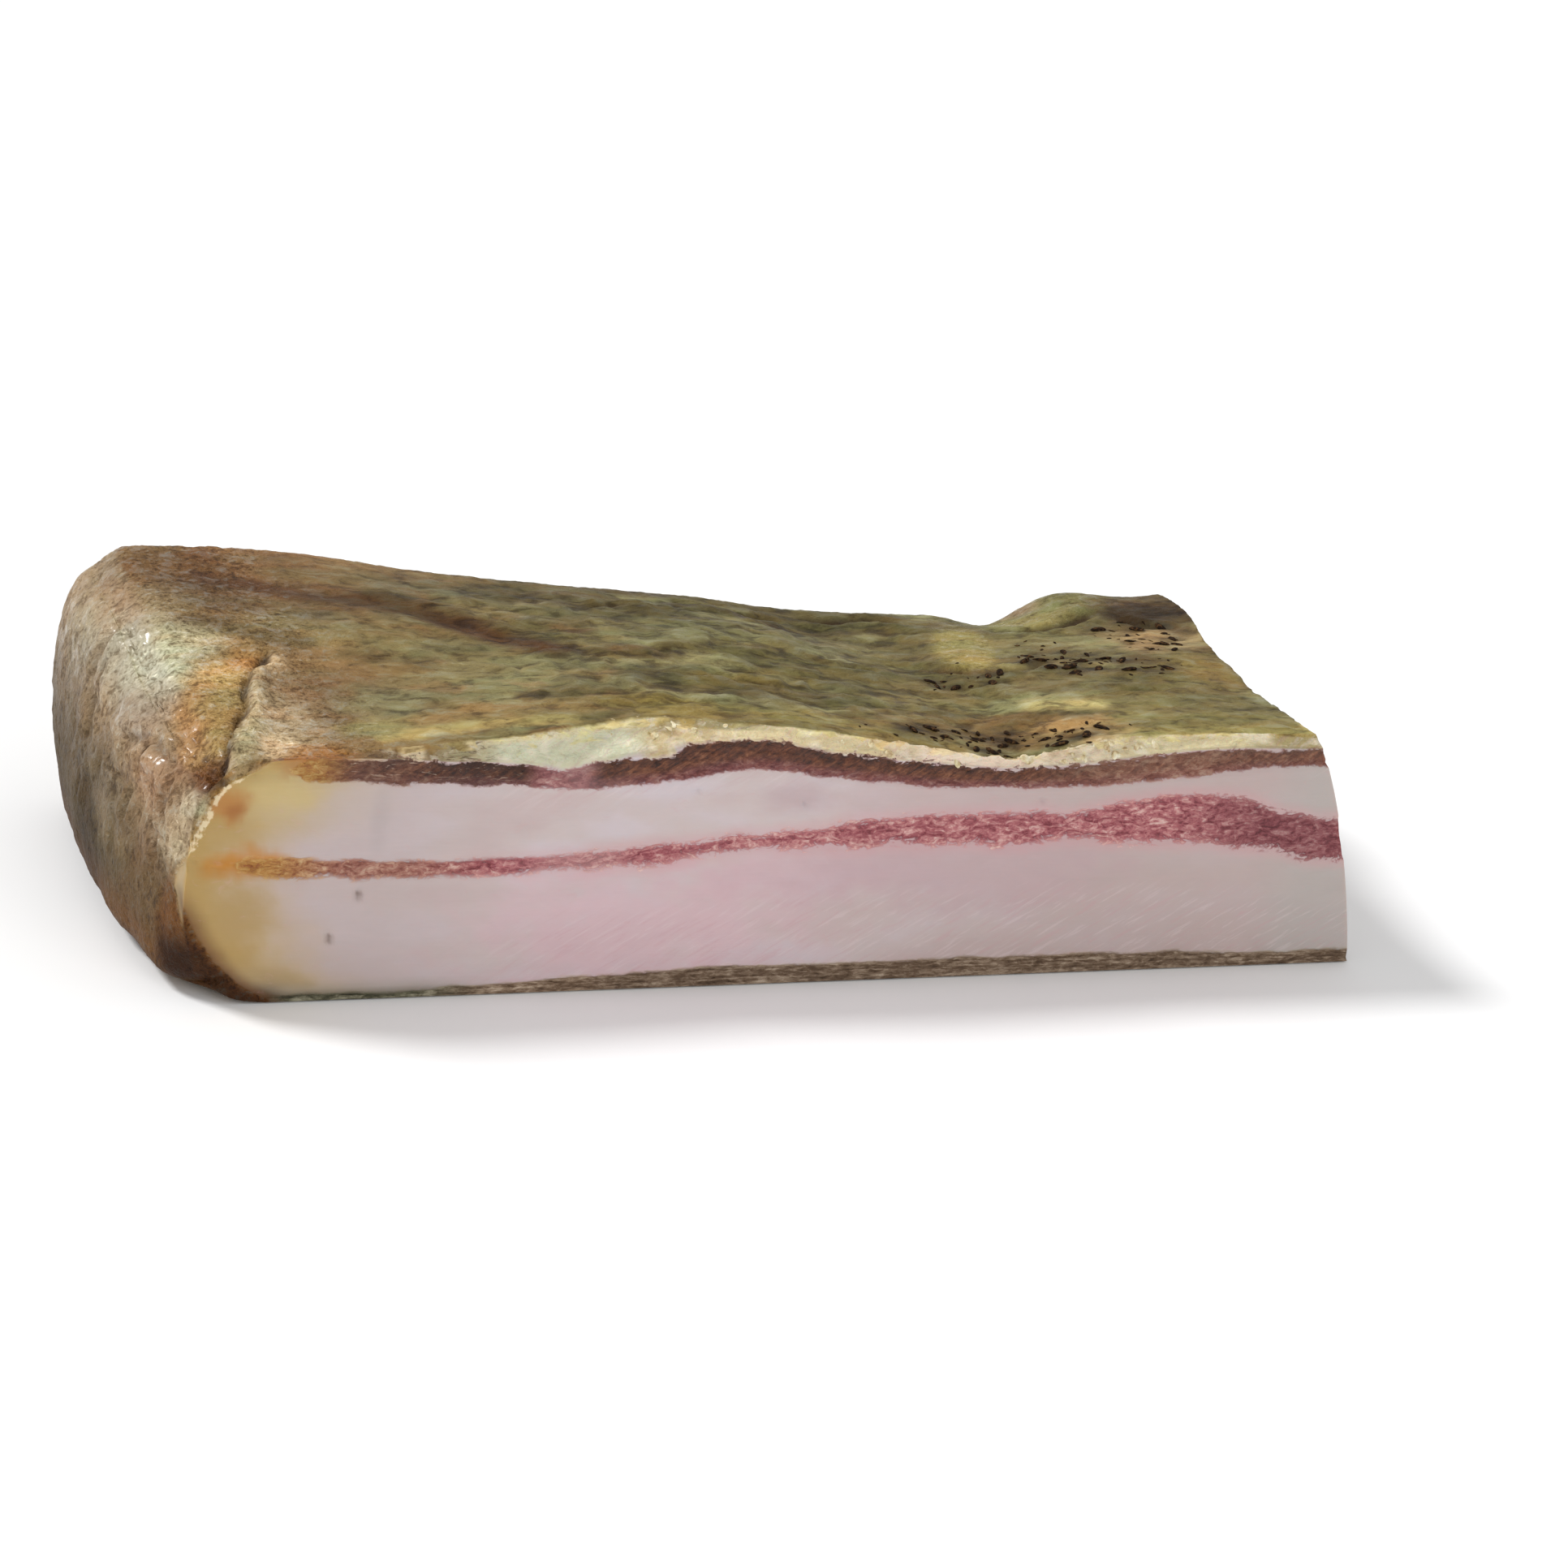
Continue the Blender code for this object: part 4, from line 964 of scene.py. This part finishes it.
class Finish:
    """A material whose nodes are added by one method."""

    def __init__(self, name):
        self.material = bpy.data.materials.new(name)
        self.material.use_nodes = True
        self.tree = self.material.node_tree
        self.tree.nodes.clear()

    def node(self, kind, settings=None, values=None, out=0):
        made = self.tree.nodes.new(kind)
        for name, value in (settings or {}).items():
            if name == "stops":
                self.set_stops(made.color_ramp, value)
            else:
                setattr(made, name, value)
        for key, value in (values or {}).items():
            socket = made.inputs[key]
            if isinstance(value, Value):
                self.tree.links.new(value.socket, socket)
            else:
                socket.default_value = value
        return Value(self, made.outputs[out]) if made.outputs else None

    @staticmethod
    def set_stops(ramp, stops):
        while len(ramp.elements) < len(stops):
            ramp.elements.new(0.5)
        for element, (place, *colour) in zip(ramp.elements, stops):
            element.position = place
            element.color = (*linear(colour), 1)

    def attribute(self, name, out=2):
        return self.node("ShaderNodeAttribute", {"attribute_name": name}, out=out)

    def noise(self, place, reach, detail=3.0, rough=0.55, distort=0.0, out=0):
        values = {0: place, 1: [1 / r for r in reach]}
        scaled = self.node("ShaderNodeVectorMath", {"operation": "MULTIPLY"}, values)
        values = {"Vector": scaled, "Scale": 1.0, "Detail": detail, "Roughness": rough, "Distortion": distort}
        return self.node("ShaderNodeTexNoise", {}, values, out)

    def mix(self, share, first, second, blend="MIX"):
        first = (*linear(first), 1) if isinstance(first, tuple) else first
        second = (*linear(second), 1) if isinstance(second, tuple) else second
        settings = {"data_type": "RGBA", "blend_type": blend}
        return self.node("ShaderNodeMix", settings, {0: share, 6: first, 7: second}, 2)

    def ramp(self, value, stops):
        return self.node("ShaderNodeValToRGB", {"stops": stops}, {0: value})

    def scale(self, colour, amount):
        return self.node("ShaderNodeVectorMath", {"operation": "SCALE"}, {0: colour, "Scale": amount})

    def bump(self, height, distance, strength=1.0):
        return self.node("ShaderNodeBump", {}, {"Height": height, "Distance": distance, "Strength": strength})

    def shader(self, **values):
        names = {key.replace("_", " ").title().replace("Ior", "IOR"): value for key, value in values.items()}
        return self.node("ShaderNodeBsdfPrincipled", {}, names)

    def blend(self, share, first, second):
        return self.node("ShaderNodeMixShader", {}, {0: share, 1: first, 2: second})

    def done(self, surface):
        self.node("ShaderNodeOutputMaterial", {}, {"Surface": surface})
        return self.material


def slab_place(finish, shift):
    """Object coordinates as millimetres in the slab's own frame."""
    place = finish.node("ShaderNodeTexCoord", out="Object")
    values = {0: finish.scale(place, 1000.0), 1: [c * 1000 for c in shift]}
    return finish.node("ShaderNodeVectorMath", {"operation": "ADD"}, values)


def slab_finish(shift):
    """Crust, fat, lean and rind, laid out by the slab's own attributes."""
    f = Finish("cured_pork")
    place = slab_place(f, shift)
    x, z = (f.node("ShaderNodeSeparateXYZ", {}, {0: place}, i) for i in (0, 2))
    cut, streak, dark, dark_rise, bevel_share, rind, groove, end, lump, skin, rim = map(f.attribute, SHOWN)
    tint = f.attribute("tint", 0)

    # Crust: soft lumps and short fibres along the slab, finer grain on the skin of the natural end.
    soft = f.noise(place, (6.5, 3.2, 3.2), 4.0, 0.52, 0.7)
    drift = f.noise(place, (19.0, 7.0, 7.0), 3.0, 0.5, 1.0)
    fibres = f.noise(place, (3.4, 1.1, 1.1), 4.0, 0.58, 0.5)
    upright = f.noise(place, (3.4, 2.6, 4.4), 5.0, 0.60, 0.9)
    pores = f.noise(place, (1.5, 1.1, 1.2), 4.0, 0.62, 0.5)
    grain = f.noise(place, (0.9, 0.8, 0.9), 3.0, 0.6)
    lines = f.noise(place, (9.0, 2.8, 2.8), 3.0, 0.5, 1.6)
    along = soft * 0.62 + fibres * 0.18 + pores * 0.16 + 0.02
    skinned = upright * 0.55 + pores * 0.50 + grain * 0.40 - 0.225
    height = skin * skinned + (1 - skin) * along + lump * 0.07 + skin * (1 - end) * (grain - 0.5) * 0.1
    crust = f.mix(1 - end * 0.9, tint, (255, 250, 226), "MULTIPLY")
    warm = f.mix(1.0, crust, (255, 246, 236), "MULTIPLY")
    cool = f.mix(1.0, crust, (244, 249, 246), "MULTIPLY")
    crust = f.mix(drift.rise(0.38, 0.62) * (1 - end * 0.6), warm, cool)
    light = f.node("ShaderNodeRGBToBW", {}, {0: crust}) * 1.45
    grey = f.scale(f.mix(skin, (255, 250, 206), (255, 249, 226)), light)
    strength = skin * (1 - end) * 0.9 + 1.3
    # The crust is darker and browner where its bump height is low and paler where it is high: partly its own
    # mottling, partly painted shade in the hollows and painted light on the swells.
    crust = f.scale(crust, 1.01 + (height - 0.5) * strength + (soft - 0.5) * (1 - skin) * 0.9)
    crust = f.mix((0.5 - height).rise(0.02, 0.14) * 0.6, crust, (176, 158, 132), "MULTIPLY")
    crust = f.mix((height - 0.5).rise(0.01, 0.16) * (0.62 - end * 0.15), crust, grey)
    line = (1 - (lines - 0.5).math("ABSOLUTE").rise(0.0, 0.020)) * (1 - skin * 0.7)
    crust = f.mix(line * 0.35, crust, (150, 126, 98), "MULTIPLY")
    # Pale flecks: lighter specks of the crust, with painted glints among them on the skin.
    crust = f.mix(pores.rise(0.60, 0.70) * (0.25 + skin * 0.3), crust, f.scale(crust, 1.7))
    # Painted shade: dark brown laid into the fold and the smaller folds.
    crust = f.mix(groove.rise(0.05, 0.75) * 0.92, crust, (52, 34, 18))

    # Rind at the foot of the cuts.
    layers = f.noise(place, (14.0, 14.0, 0.7), 4.0, 0.6, 0.6)
    flecks = f.noise(place, (2.6, 1.2, 0.8), 6.0, 0.7, 0.4) * 0.6 + layers * 0.4
    dull = f.ramp(flecks, (
        (0.36, 42, 40, 28), (0.46, 76, 74, 56), (0.54, 112, 108, 86), (0.64, 168, 162, 138),
    ))
    browned = f.ramp(flecks, (
        (0.36, 66, 48, 34), (0.47, 108, 86, 68), (0.55, 146, 124, 104), (0.64, 188, 168, 148),
    ))
    browned = f.scale(browned, 1.2 - x.rise(76.0, 90.0) * 0.25)
    rind_colour = f.mix(x.rise(44.0, 64.0) * 0.9, f.scale(dull, 0.85), browned)
    rind_share = (rind + (flecks - 0.5) * 2.6).rise(-0.35, 0.55) * x.rise(10.0, 22.0)
    edge_wobble = f.noise(place, (2.4, 2.4, 1.6), 5.0, 0.6)
    cut_share = (cut + (edge_wobble - 0.5) * 0.7).rise(0.34, 0.66)
    frayed = f.noise(place, (6.0, 2.5, 2.5), 5.0, 0.6, 0.8)
    crust_line = (bevel_share + (frayed - 0.5) * 3.0).rise(0.72, 1.05)
    crumbly = f.noise(place, (1.4, 1.4, 1.4), 4.0, 0.6)
    rim_share = (rim + (crumbly - 0.5) * 2.0).rise(0.55, 0.90)
    crust = f.mix(rim_share * 0.8, crust, (232, 214, 176))
    dry = f.mix(rind_share * cut_share, crust, rind_colour)
    wet = (skin * 0.5 + 0.1) * upright.rise(0.50, 0.62) * z.rise(30.0, 44.0)
    crust_shader = f.shader(base_color=dry, roughness=0.38 + pores * 0.32 - end * z.rise(18.0, 34.0) * 0.2,
                            specular_ior_level=0.15, coat_weight=wet, coat_roughness=0.18,
                            normal=f.bump(height, 0.0012, 0.9))

    # Fat: waxy, faintly clouded, with the knife's fine lines; torn into crumbs on the bevel.
    cloud = f.noise(place, (12.0, 12.0, 5.0), 4.0, 0.6, 0.6)
    knife = f.noise(place, (9.0, 9.0, 0.5), 4.0, 0.6)
    veins = f.noise(place, (3.4, 3.4, 2.0), 5.0, 0.6, 1.2)
    fat = f.scale(tint, 0.93 + cloud * 0.12 + knife * 0.05)
    turned = f.node("ShaderNodeVectorRotate", {"rotation_type": "Y_AXIS"}, {"Vector": place, "Angle": 0.55})
    sinew = f.noise(turned, (9.0, 4.0, 0.9), 4.0, 0.6, 0.5)
    hairs = f.noise(place, (3.4, 1.4, 0.6), 4.0, 0.6, 1.4)
    fat = f.mix((veins - cloud * 0.35).rise(0.42, 0.58) * 0.18, fat, (206, 160, 160))
    lower = x.rise(40.0, 80.0) * streak.fall(-14.0, -7.0)
    fat = f.mix(sinew.rise(0.54, 0.66) * lower * 0.26, fat, (222, 206, 206))
    fat = f.mix((1 - sinew).rise(0.54, 0.66) * lower * 0.24, fat, (196, 146, 154))
    fat = f.mix(streak.rise(-3.4, -0.2) * x.rise(40.0, 90.0) * 0.4, fat, (204, 152, 156))
    torn_grain = f.noise(place, (1.8, 1.4, 1.2), 5.0, 0.65, 0.5)
    torn = bevel_share.rise(0.02, 0.2)
    fat = f.mix(rim_share * 0.8, fat, (232, 214, 176))
    fat = f.mix(torn * (1 - torn_grain).rise(0.54, 0.70) * 0.3, fat, (154, 126, 84))
    fat = f.mix(torn * torn_grain.rise(0.54, 0.68) * 0.3, fat, (242, 232, 206))
    shreddy = torn * (frayed - 0.5).rise(0.02, 0.14) * 0.5 * (0.3 + x.rise(84.0, 92.0) * 0.7)
    fat = f.mix(shreddy, fat, f.scale(fat, 0.68))
    fuzz = torn * x.fall(52.0, 60.0) * (hairs.rise(0.50, 0.62) - hairs.rise(0.66, 0.70))
    fat = f.mix(fuzz * 0.8, fat, (92, 66, 40))
    fat_relief = knife * 0.25 + veins * 0.2 + torn * torn_grain * 4.0 + torn * frayed * 9.0
    fat_shader = f.shader(base_color=fat, roughness=0.34 + cloud * 0.22, subsurface_weight=0.22,
                          subsurface_radius=(1.0, 0.42, 0.30), subsurface_scale=0.0035,
                          specular_ior_level=0.4, normal=f.bump(fat_relief, 0.0003, 0.6))

    # Lean: shredded fibres, pink in the streak and brown-red in the upper band.
    shreds = f.noise(place, (4.2, 4.2, 1.7), 6.0, 0.62, 1.4)
    fine = f.noise(place, (1.3, 1.3, 0.8), 4.0, 0.6, 0.8)
    ragged = ((shreds - 0.5) * 6.5 + (fine - 0.5) * 3.0) * (0.45 + x.rise(50.0, 110.0) * 0.55)
    streak_share = (streak + ragged - x.fall(1.0, 11.0) * 3.0).rise(-0.5, 0.5)
    worn = x.fall(12.0, 20.0) * 4.0
    tattered = dark_rise * (1.8 + x.rise(120.0, 140.0) * x.fall(190.0, 205.0) * 3.0)
    dark_share = (dark + (shreds - 0.5) * (1.2 + tattered) + (fine - 0.5) * 1.4 - worn).rise(-0.25, 0.35)
    mixed = shreds * 0.62 + fine * 0.38
    pink = f.ramp(mixed, (
        (0.38, 118, 46, 54), (0.45, 154, 76, 84), (0.52, 184, 114, 116), (0.58, 206, 150, 146),
        (0.65, 228, 192, 184),
    ))
    faded = f.ramp(mixed, ((0.38, 142, 80, 34), (0.50, 180, 128, 60), (0.62, 206, 166, 100)))
    browned = f.ramp(mixed, ((0.38, 120, 66, 48), (0.50, 160, 110, 88), (0.62, 196, 160, 134)))
    pink = f.mix(x.fall(36.0, 62.0) * 0.8, pink, browned)
    pink = f.mix(x.fall(12.0, 30.0), pink, faded)
    pink = f.mix(x.rise(60.0, 75.0) * x.fall(80.0, 90.0) * 0.3, pink, (214, 176, 172))
    pink = f.mix(x.rise(200.0, 232.0) * 0.9, pink, (190, 168, 174), "MULTIPLY")
    strands = f.noise(turned, (4.5, 1.2, 0.7), 5.0, 0.65, 0.6)
    band = f.ramp(strands * 0.5 + shreds * 0.25 + fine * 0.25, (
        (0.38, 46, 22, 12), (0.46, 82, 43, 26), (0.53, 108, 61, 38), (0.60, 134, 85, 57),
        (0.68, 174, 130, 102),
    ))
    band = f.mix((1 - dark_rise).rise(0.45, 0.95) * 0.55, band, f.scale(pink, 0.66))
    # The dark band is darker towards its top: the lean's darker upper edge, with painted shade under the torn
    # fat above it.
    band = f.mix((dark_rise + (frayed - 0.5) * 1.2).rise(0.62, 0.95) * 0.7, band, f.scale(band, 0.45))
    band = f.mix(x.rise(166.0, 195.0) * (1 - x.rise(208.0, 222.0) * 0.5) * 0.5, band, f.scale(browned, 0.9))
    band = f.mix(x.fall(34.0, 48.0) * 0.35, band, f.scale(browned, 0.6))
    band = f.scale(band, 1.0 - x.rise(40.0, 50.0) * x.fall(62.0, 68.0) * 0.4)
    band = f.mix(x.fall(20.0, 30.0), band, f.scale(faded, 0.9))
    notch = (x - 71.0).math("ABSOLUTE").rise(3.0, 9.0)
    band = f.mix((1 - notch) * 0.8, band, f.scale(pink, 0.85))
    # Painted glints: pale flecks laid into the dark band's colour.
    glints = hairs.rise(0.60, 0.66) * x.fall(56.0, 66.0) * x.rise(22.0, 30.0)
    band = f.scale(band, 1.0 - x.rise(26.0, 32.0) * x.fall(46.0, 56.0) * 0.12)
    band = f.mix(glints * (0.1 + dark_rise * 0.5), band, (220, 194, 170))
    lean = f.mix(dark_share, pink, band)
    lean_shader = f.shader(base_color=lean, roughness=0.26 + fine * 0.30, subsurface_weight=0.08,
                           subsurface_radius=(1.0, 0.3, 0.2), subsurface_scale=0.002, specular_ior_level=0.4,
                           normal=f.bump(mixed, 0.0011, 0.9))

    meat = f.blend(streak_share.at_least(dark_share), fat_shader, lean_shader)
    moist = cut_share * (1 - rind_share) * (1 - crust_line)
    return f.done(f.blend(moist, crust_shader, meat))


def pepper_places():
    """Plan places and sizes of the cracked pepper, kept apart from each other, the same each run."""
    draw = random.Random(PEPPER_SEED)
    places = []
    while len(places) < PEPPER_COUNT:
        x0, y0, reach_x, reach_y, _ = draw.choices(PEPPER_ZONES, [zone[4] for zone in PEPPER_ZONES])[0]
        angle, out = draw.uniform(0, 2 * math.pi), math.sqrt(draw.random())
        x = x0 + reach_x * out * math.cos(angle)
        y = max(y0 + reach_y * out * math.sin(angle), float(bevel(x0)) + 0.0032)
        size, turn = draw.uniform(0.0008, 0.0015), draw.uniform(-0.8, 0.8)
        if all(math.dist((x, y), p[:2]) > PEPPER_SPACING for p in places):
            places.append((x, y, size, turn))
    return places


def small_specks(draw, count):
    """Finer specks of pepper round the same places."""
    specks = []
    for _ in range(count):
        x0, y0, reach_x, reach_y, _ = draw.choices(PEPPER_ZONES, [zone[4] for zone in PEPPER_ZONES])[0]
        x = x0 + draw.gauss(0, 0.62) * reach_x
        y = max(y0 + draw.gauss(0, 0.62) * reach_y, float(bevel(x0)) + 0.0012)
        specks.append((min(x, 0.2345), y, draw.uniform(0.00025, 0.0006), draw.uniform(-1.2, 1.2)))
    return specks


def add_shard(name, cuts, seed):
    """A cracked piece: a ball with flat breaks across it."""
    draw = random.Random(seed)
    deselect()
    bpy.ops.mesh.primitive_ico_sphere_add(subdivisions=2, radius=1)
    shard = bpy.context.object
    shard.name = name
    for _ in range(cuts):
        away = Vector((draw.uniform(-1, 1), draw.uniform(-1, 1), draw.uniform(-0.6, 1))).normalized()
        edit(shard, "FACE")
        bpy.ops.mesh.select_all(action="SELECT")
        place = away * draw.uniform(0.35, 0.75)
        bpy.ops.mesh.bisect(plane_co=place, plane_no=away, use_fill=True, clear_outer=True)
        close_edit()
    return shard


def surface_under(piece, x, y):
    hit, point, normal, _ = piece.ray_cast(Vector((x, y, 0.1)), Vector((0, 0, -1)))
    return (point, normal) if hit else (None, None)


def lie_on(point, normal):
    """A place on the surface, turned to lie flat there."""
    return Matrix.Translation(point) @ normal.to_track_quat("Z", "Y").to_matrix().to_4x4()


def join(name, copies):
    """Makes one piece of copies that each have their own mesh."""
    deselect()
    for copy in copies:
        copy.select_set(True)
    bpy.context.view_layer.objects.active = copies[0]
    bpy.ops.object.join()
    whole = bpy.context.object
    whole.name = whole.data.name = name
    return whole


def copy_at(model, matrix):
    copy = bpy.data.objects.new("copy", model.data.copy())
    copy.data.transform(matrix)
    bpy.context.scene.collection.objects.link(copy)
    return copy


def drop(models):
    for model in models:
        bpy.data.objects.remove(model)


def make_pepper(slab):
    """Cracked pepper, pressed into the crust."""
    models = [add_shard("shard", 3 + i % 2, 40 + i) for i in range(4)]
    draw = random.Random(5)
    copies = []
    places = [(x, y, 0.8 * size, turn, 1.1) for x, y, size, turn in pepper_places()]
    places += [(*p, 0.8) for p in small_specks(draw, 130)]
    for x, y, size, turn, tall in places:
        point, normal = surface_under(slab, x, y)
        if point is None or normal.z < 0.4:
            continue
        stretch = Matrix.Diagonal((size * 1.9, size * 0.85, size * 0.45 * tall, 1))
        spin = Matrix.Rotation(turn, 4, "Z") @ stretch @ Matrix.Rotation(draw.uniform(-0.5, 0.5), 4, "X")
        copies.append(copy_at(draw.choice(models), lie_on(point, normal) @ spin))
    pepper = join("cracked_pepper", copies)
    drop(models)
    return pepper


def make_crumbs(slab):
    """Torn crumbs of fat along the bevel."""
    models = [add_shard("crumb", 2 + i % 2, 60 + i) for i in range(3)]
    draw = random.Random(8)
    copies = []
    spots = [(draw.gauss(93, 4), draw.uniform(0.25, 0.9)) for _ in range(18)]
    spots += [(draw.gauss(182, 8), draw.uniform(0.3, 1.0)) for _ in range(32)]
    spots += [(draw.uniform(84, 200), draw.uniform(0.4, 1.0)) for _ in range(18)]
    for x, share in spots:
        depth = float(bevel(x / 1000)) * share
        point, normal = surface_under(slab, x / 1000, depth)
        if point is not None and point.z > dark_top(x / 1000) + 0.001:
            copies.append((point, normal, draw.uniform(0.0003, 0.0008)))
    placed = []
    for point, normal, size in copies:
        turn = Matrix.Rotation(draw.uniform(0, 6.3), 4, "Z")
        stretch = Matrix.Diagonal((size * 1.5, size, size * 0.38, 1))
        placed.append(copy_at(draw.choice(models), lie_on(point, normal) @ turn @ stretch))
    crumbs = join("fat_crumbs", placed)
    drop(models)
    return crumbs


def speck_finish(name, shift, reach, stops, rough, bumps, **more):
    """A mottled finish for specks that lie on the slab."""
    f = Finish(name)
    tone = f.noise(slab_place(f, shift), (reach, reach, reach), 4.0, 0.6)
    return f.done(f.shader(base_color=f.ramp(tone, stops), roughness=rough + tone * 0.3,
                           normal=f.bump(tone, 0.0002, bumps), **more))


def pepper_finish(shift):
    stops = ((0.35, 18, 10, 6), (0.52, 40, 26, 14), (0.66, 88, 62, 36))
    return speck_finish("pepper_husk", shift, 0.8, stops, 0.7, 0.7, specular_ior_level=0.08)


def crumb_finish(shift):
    stops = ((0.36, 166, 136, 92), (0.50, 214, 196, 152), (0.64, 236, 224, 194))
    return speck_finish("dried_fat", shift, 1.5, stops, 0.32, 0.6, subsurface_weight=0.15,
                        subsurface_radius=(1.0, 0.5, 0.3), subsurface_scale=0.001)


def slab_shift():
    """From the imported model's frame to the slab's own, by the place where the foot of both cuts meets."""
    node = bpy.data.objects["slab"]
    corners = read(node.data, node.data.vertices, "co", 3)
    foot = corners[corners[:, 2] < 1e-5]
    far = foot[foot[:, 0].argmax()]
    return Vector((FOOT_CORNER - far[0], -far[1], 0.0))


def place_camera(shift):
    """The camera's place and turn in the slab's own frame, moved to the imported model's."""
    yaw, pitch, roll = (math.radians(a) for a in CAMERA_TURN)
    ahead = Vector((math.sin(yaw) * math.cos(pitch), math.cos(yaw) * math.cos(pitch), -math.sin(pitch)))
    level_right = Vector((math.cos(yaw), -math.sin(yaw), 0))
    level_up = level_right.cross(ahead)
    right = level_right * math.cos(roll) + level_up * math.sin(roll)
    up = level_up * math.cos(roll) - level_right * math.sin(roll)
    data = bpy.data.cameras.new("view")
    data.lens, data.sensor_width, data.clip_start = CAMERA_LENS, 36, 0.01
    camera = bpy.data.objects.new("view", data)
    turn = Matrix((right, up, -ahead)).transposed().to_4x4()
    camera.matrix_world = Matrix.Translation(Vector(CAMERA_PLACE) - shift) @ turn
    bpy.context.scene.collection.objects.link(camera)
    bpy.context.scene.camera = camera


def add_light(name, place, size, power, target=(0, 0, 0.02)):
    data = bpy.data.lights.new(name, "AREA")
    data.shape, data.size, data.energy = "DISK", size, power
    lamp = bpy.data.objects.new(name, data)
    away = Vector(target) - Vector(place)
    lamp.matrix_world = Matrix.Translation(place) @ away.to_track_quat("-Z", "Y").to_matrix().to_4x4()
    bpy.context.scene.collection.objects.link(lamp)


def add_sun(name, source, strength):
    data = bpy.data.lights.new(name, "SUN")
    data.angle, data.energy = math.radians(14), strength
    lamp = bpy.data.objects.new(name, data)
    lamp.matrix_world = Vector(source).to_track_quat("Z", "Y").to_matrix().to_4x4()
    bpy.context.scene.collection.objects.link(lamp)


def make_stage():
    deselect()
    bpy.ops.mesh.primitive_plane_add(size=8, location=(0, 0, -0.0003))
    floor = bpy.context.object
    floor.name = floor.data.name = "floor"
    bpy.ops.object.transform_apply(location=True, rotation=False, scale=True)
    f = Finish("pale_floor")
    place = f.node("ShaderNodeTexCoord", out="Object")
    tone = f.noise(place, (0.4, 0.4, 0.4), 2.0)
    pale = f.mix(tone, (246, 246, 246), (250, 250, 250))
    floor.data.materials.append(f.done(f.shader(base_color=pale, roughness=0.8)))
    world = bpy.data.worlds.new("studio")
    world.use_nodes = True
    world.node_tree.nodes["Background"].inputs["Color"].default_value = (1, 1, 1, 1)
    world.node_tree.nodes["Background"].inputs["Strength"].default_value = 0.62
    bpy.context.scene.world = world
    bpy.context.scene.view_settings.view_transform = "Standard"
    add_sun("key", (-0.62, 0.34, 0.74), 2.2)
    add_light("fill", (0.25, -1.10, 0.55), 0.8, 2.5)


def finish_piece(piece, shift, material):
    """Moves a piece from the slab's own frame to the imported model's and gives it its material."""
    piece.data.transform(Matrix.Translation(-shift))
    piece.data.materials.clear()
    piece.data.materials.append(material)
    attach(piece, "root")


def main():
    shift = slab_shift()
    place_camera(shift)
    make_stage()
    slab = make_slab()
    pepper = make_pepper(slab)
    crumbs = make_crumbs(slab)
    finish_piece(slab, shift, slab_finish(shift))
    finish_piece(pepper, shift, pepper_finish(shift))
    finish_piece(crumbs, shift, crumb_finish(shift))
    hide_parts("slab")


main()
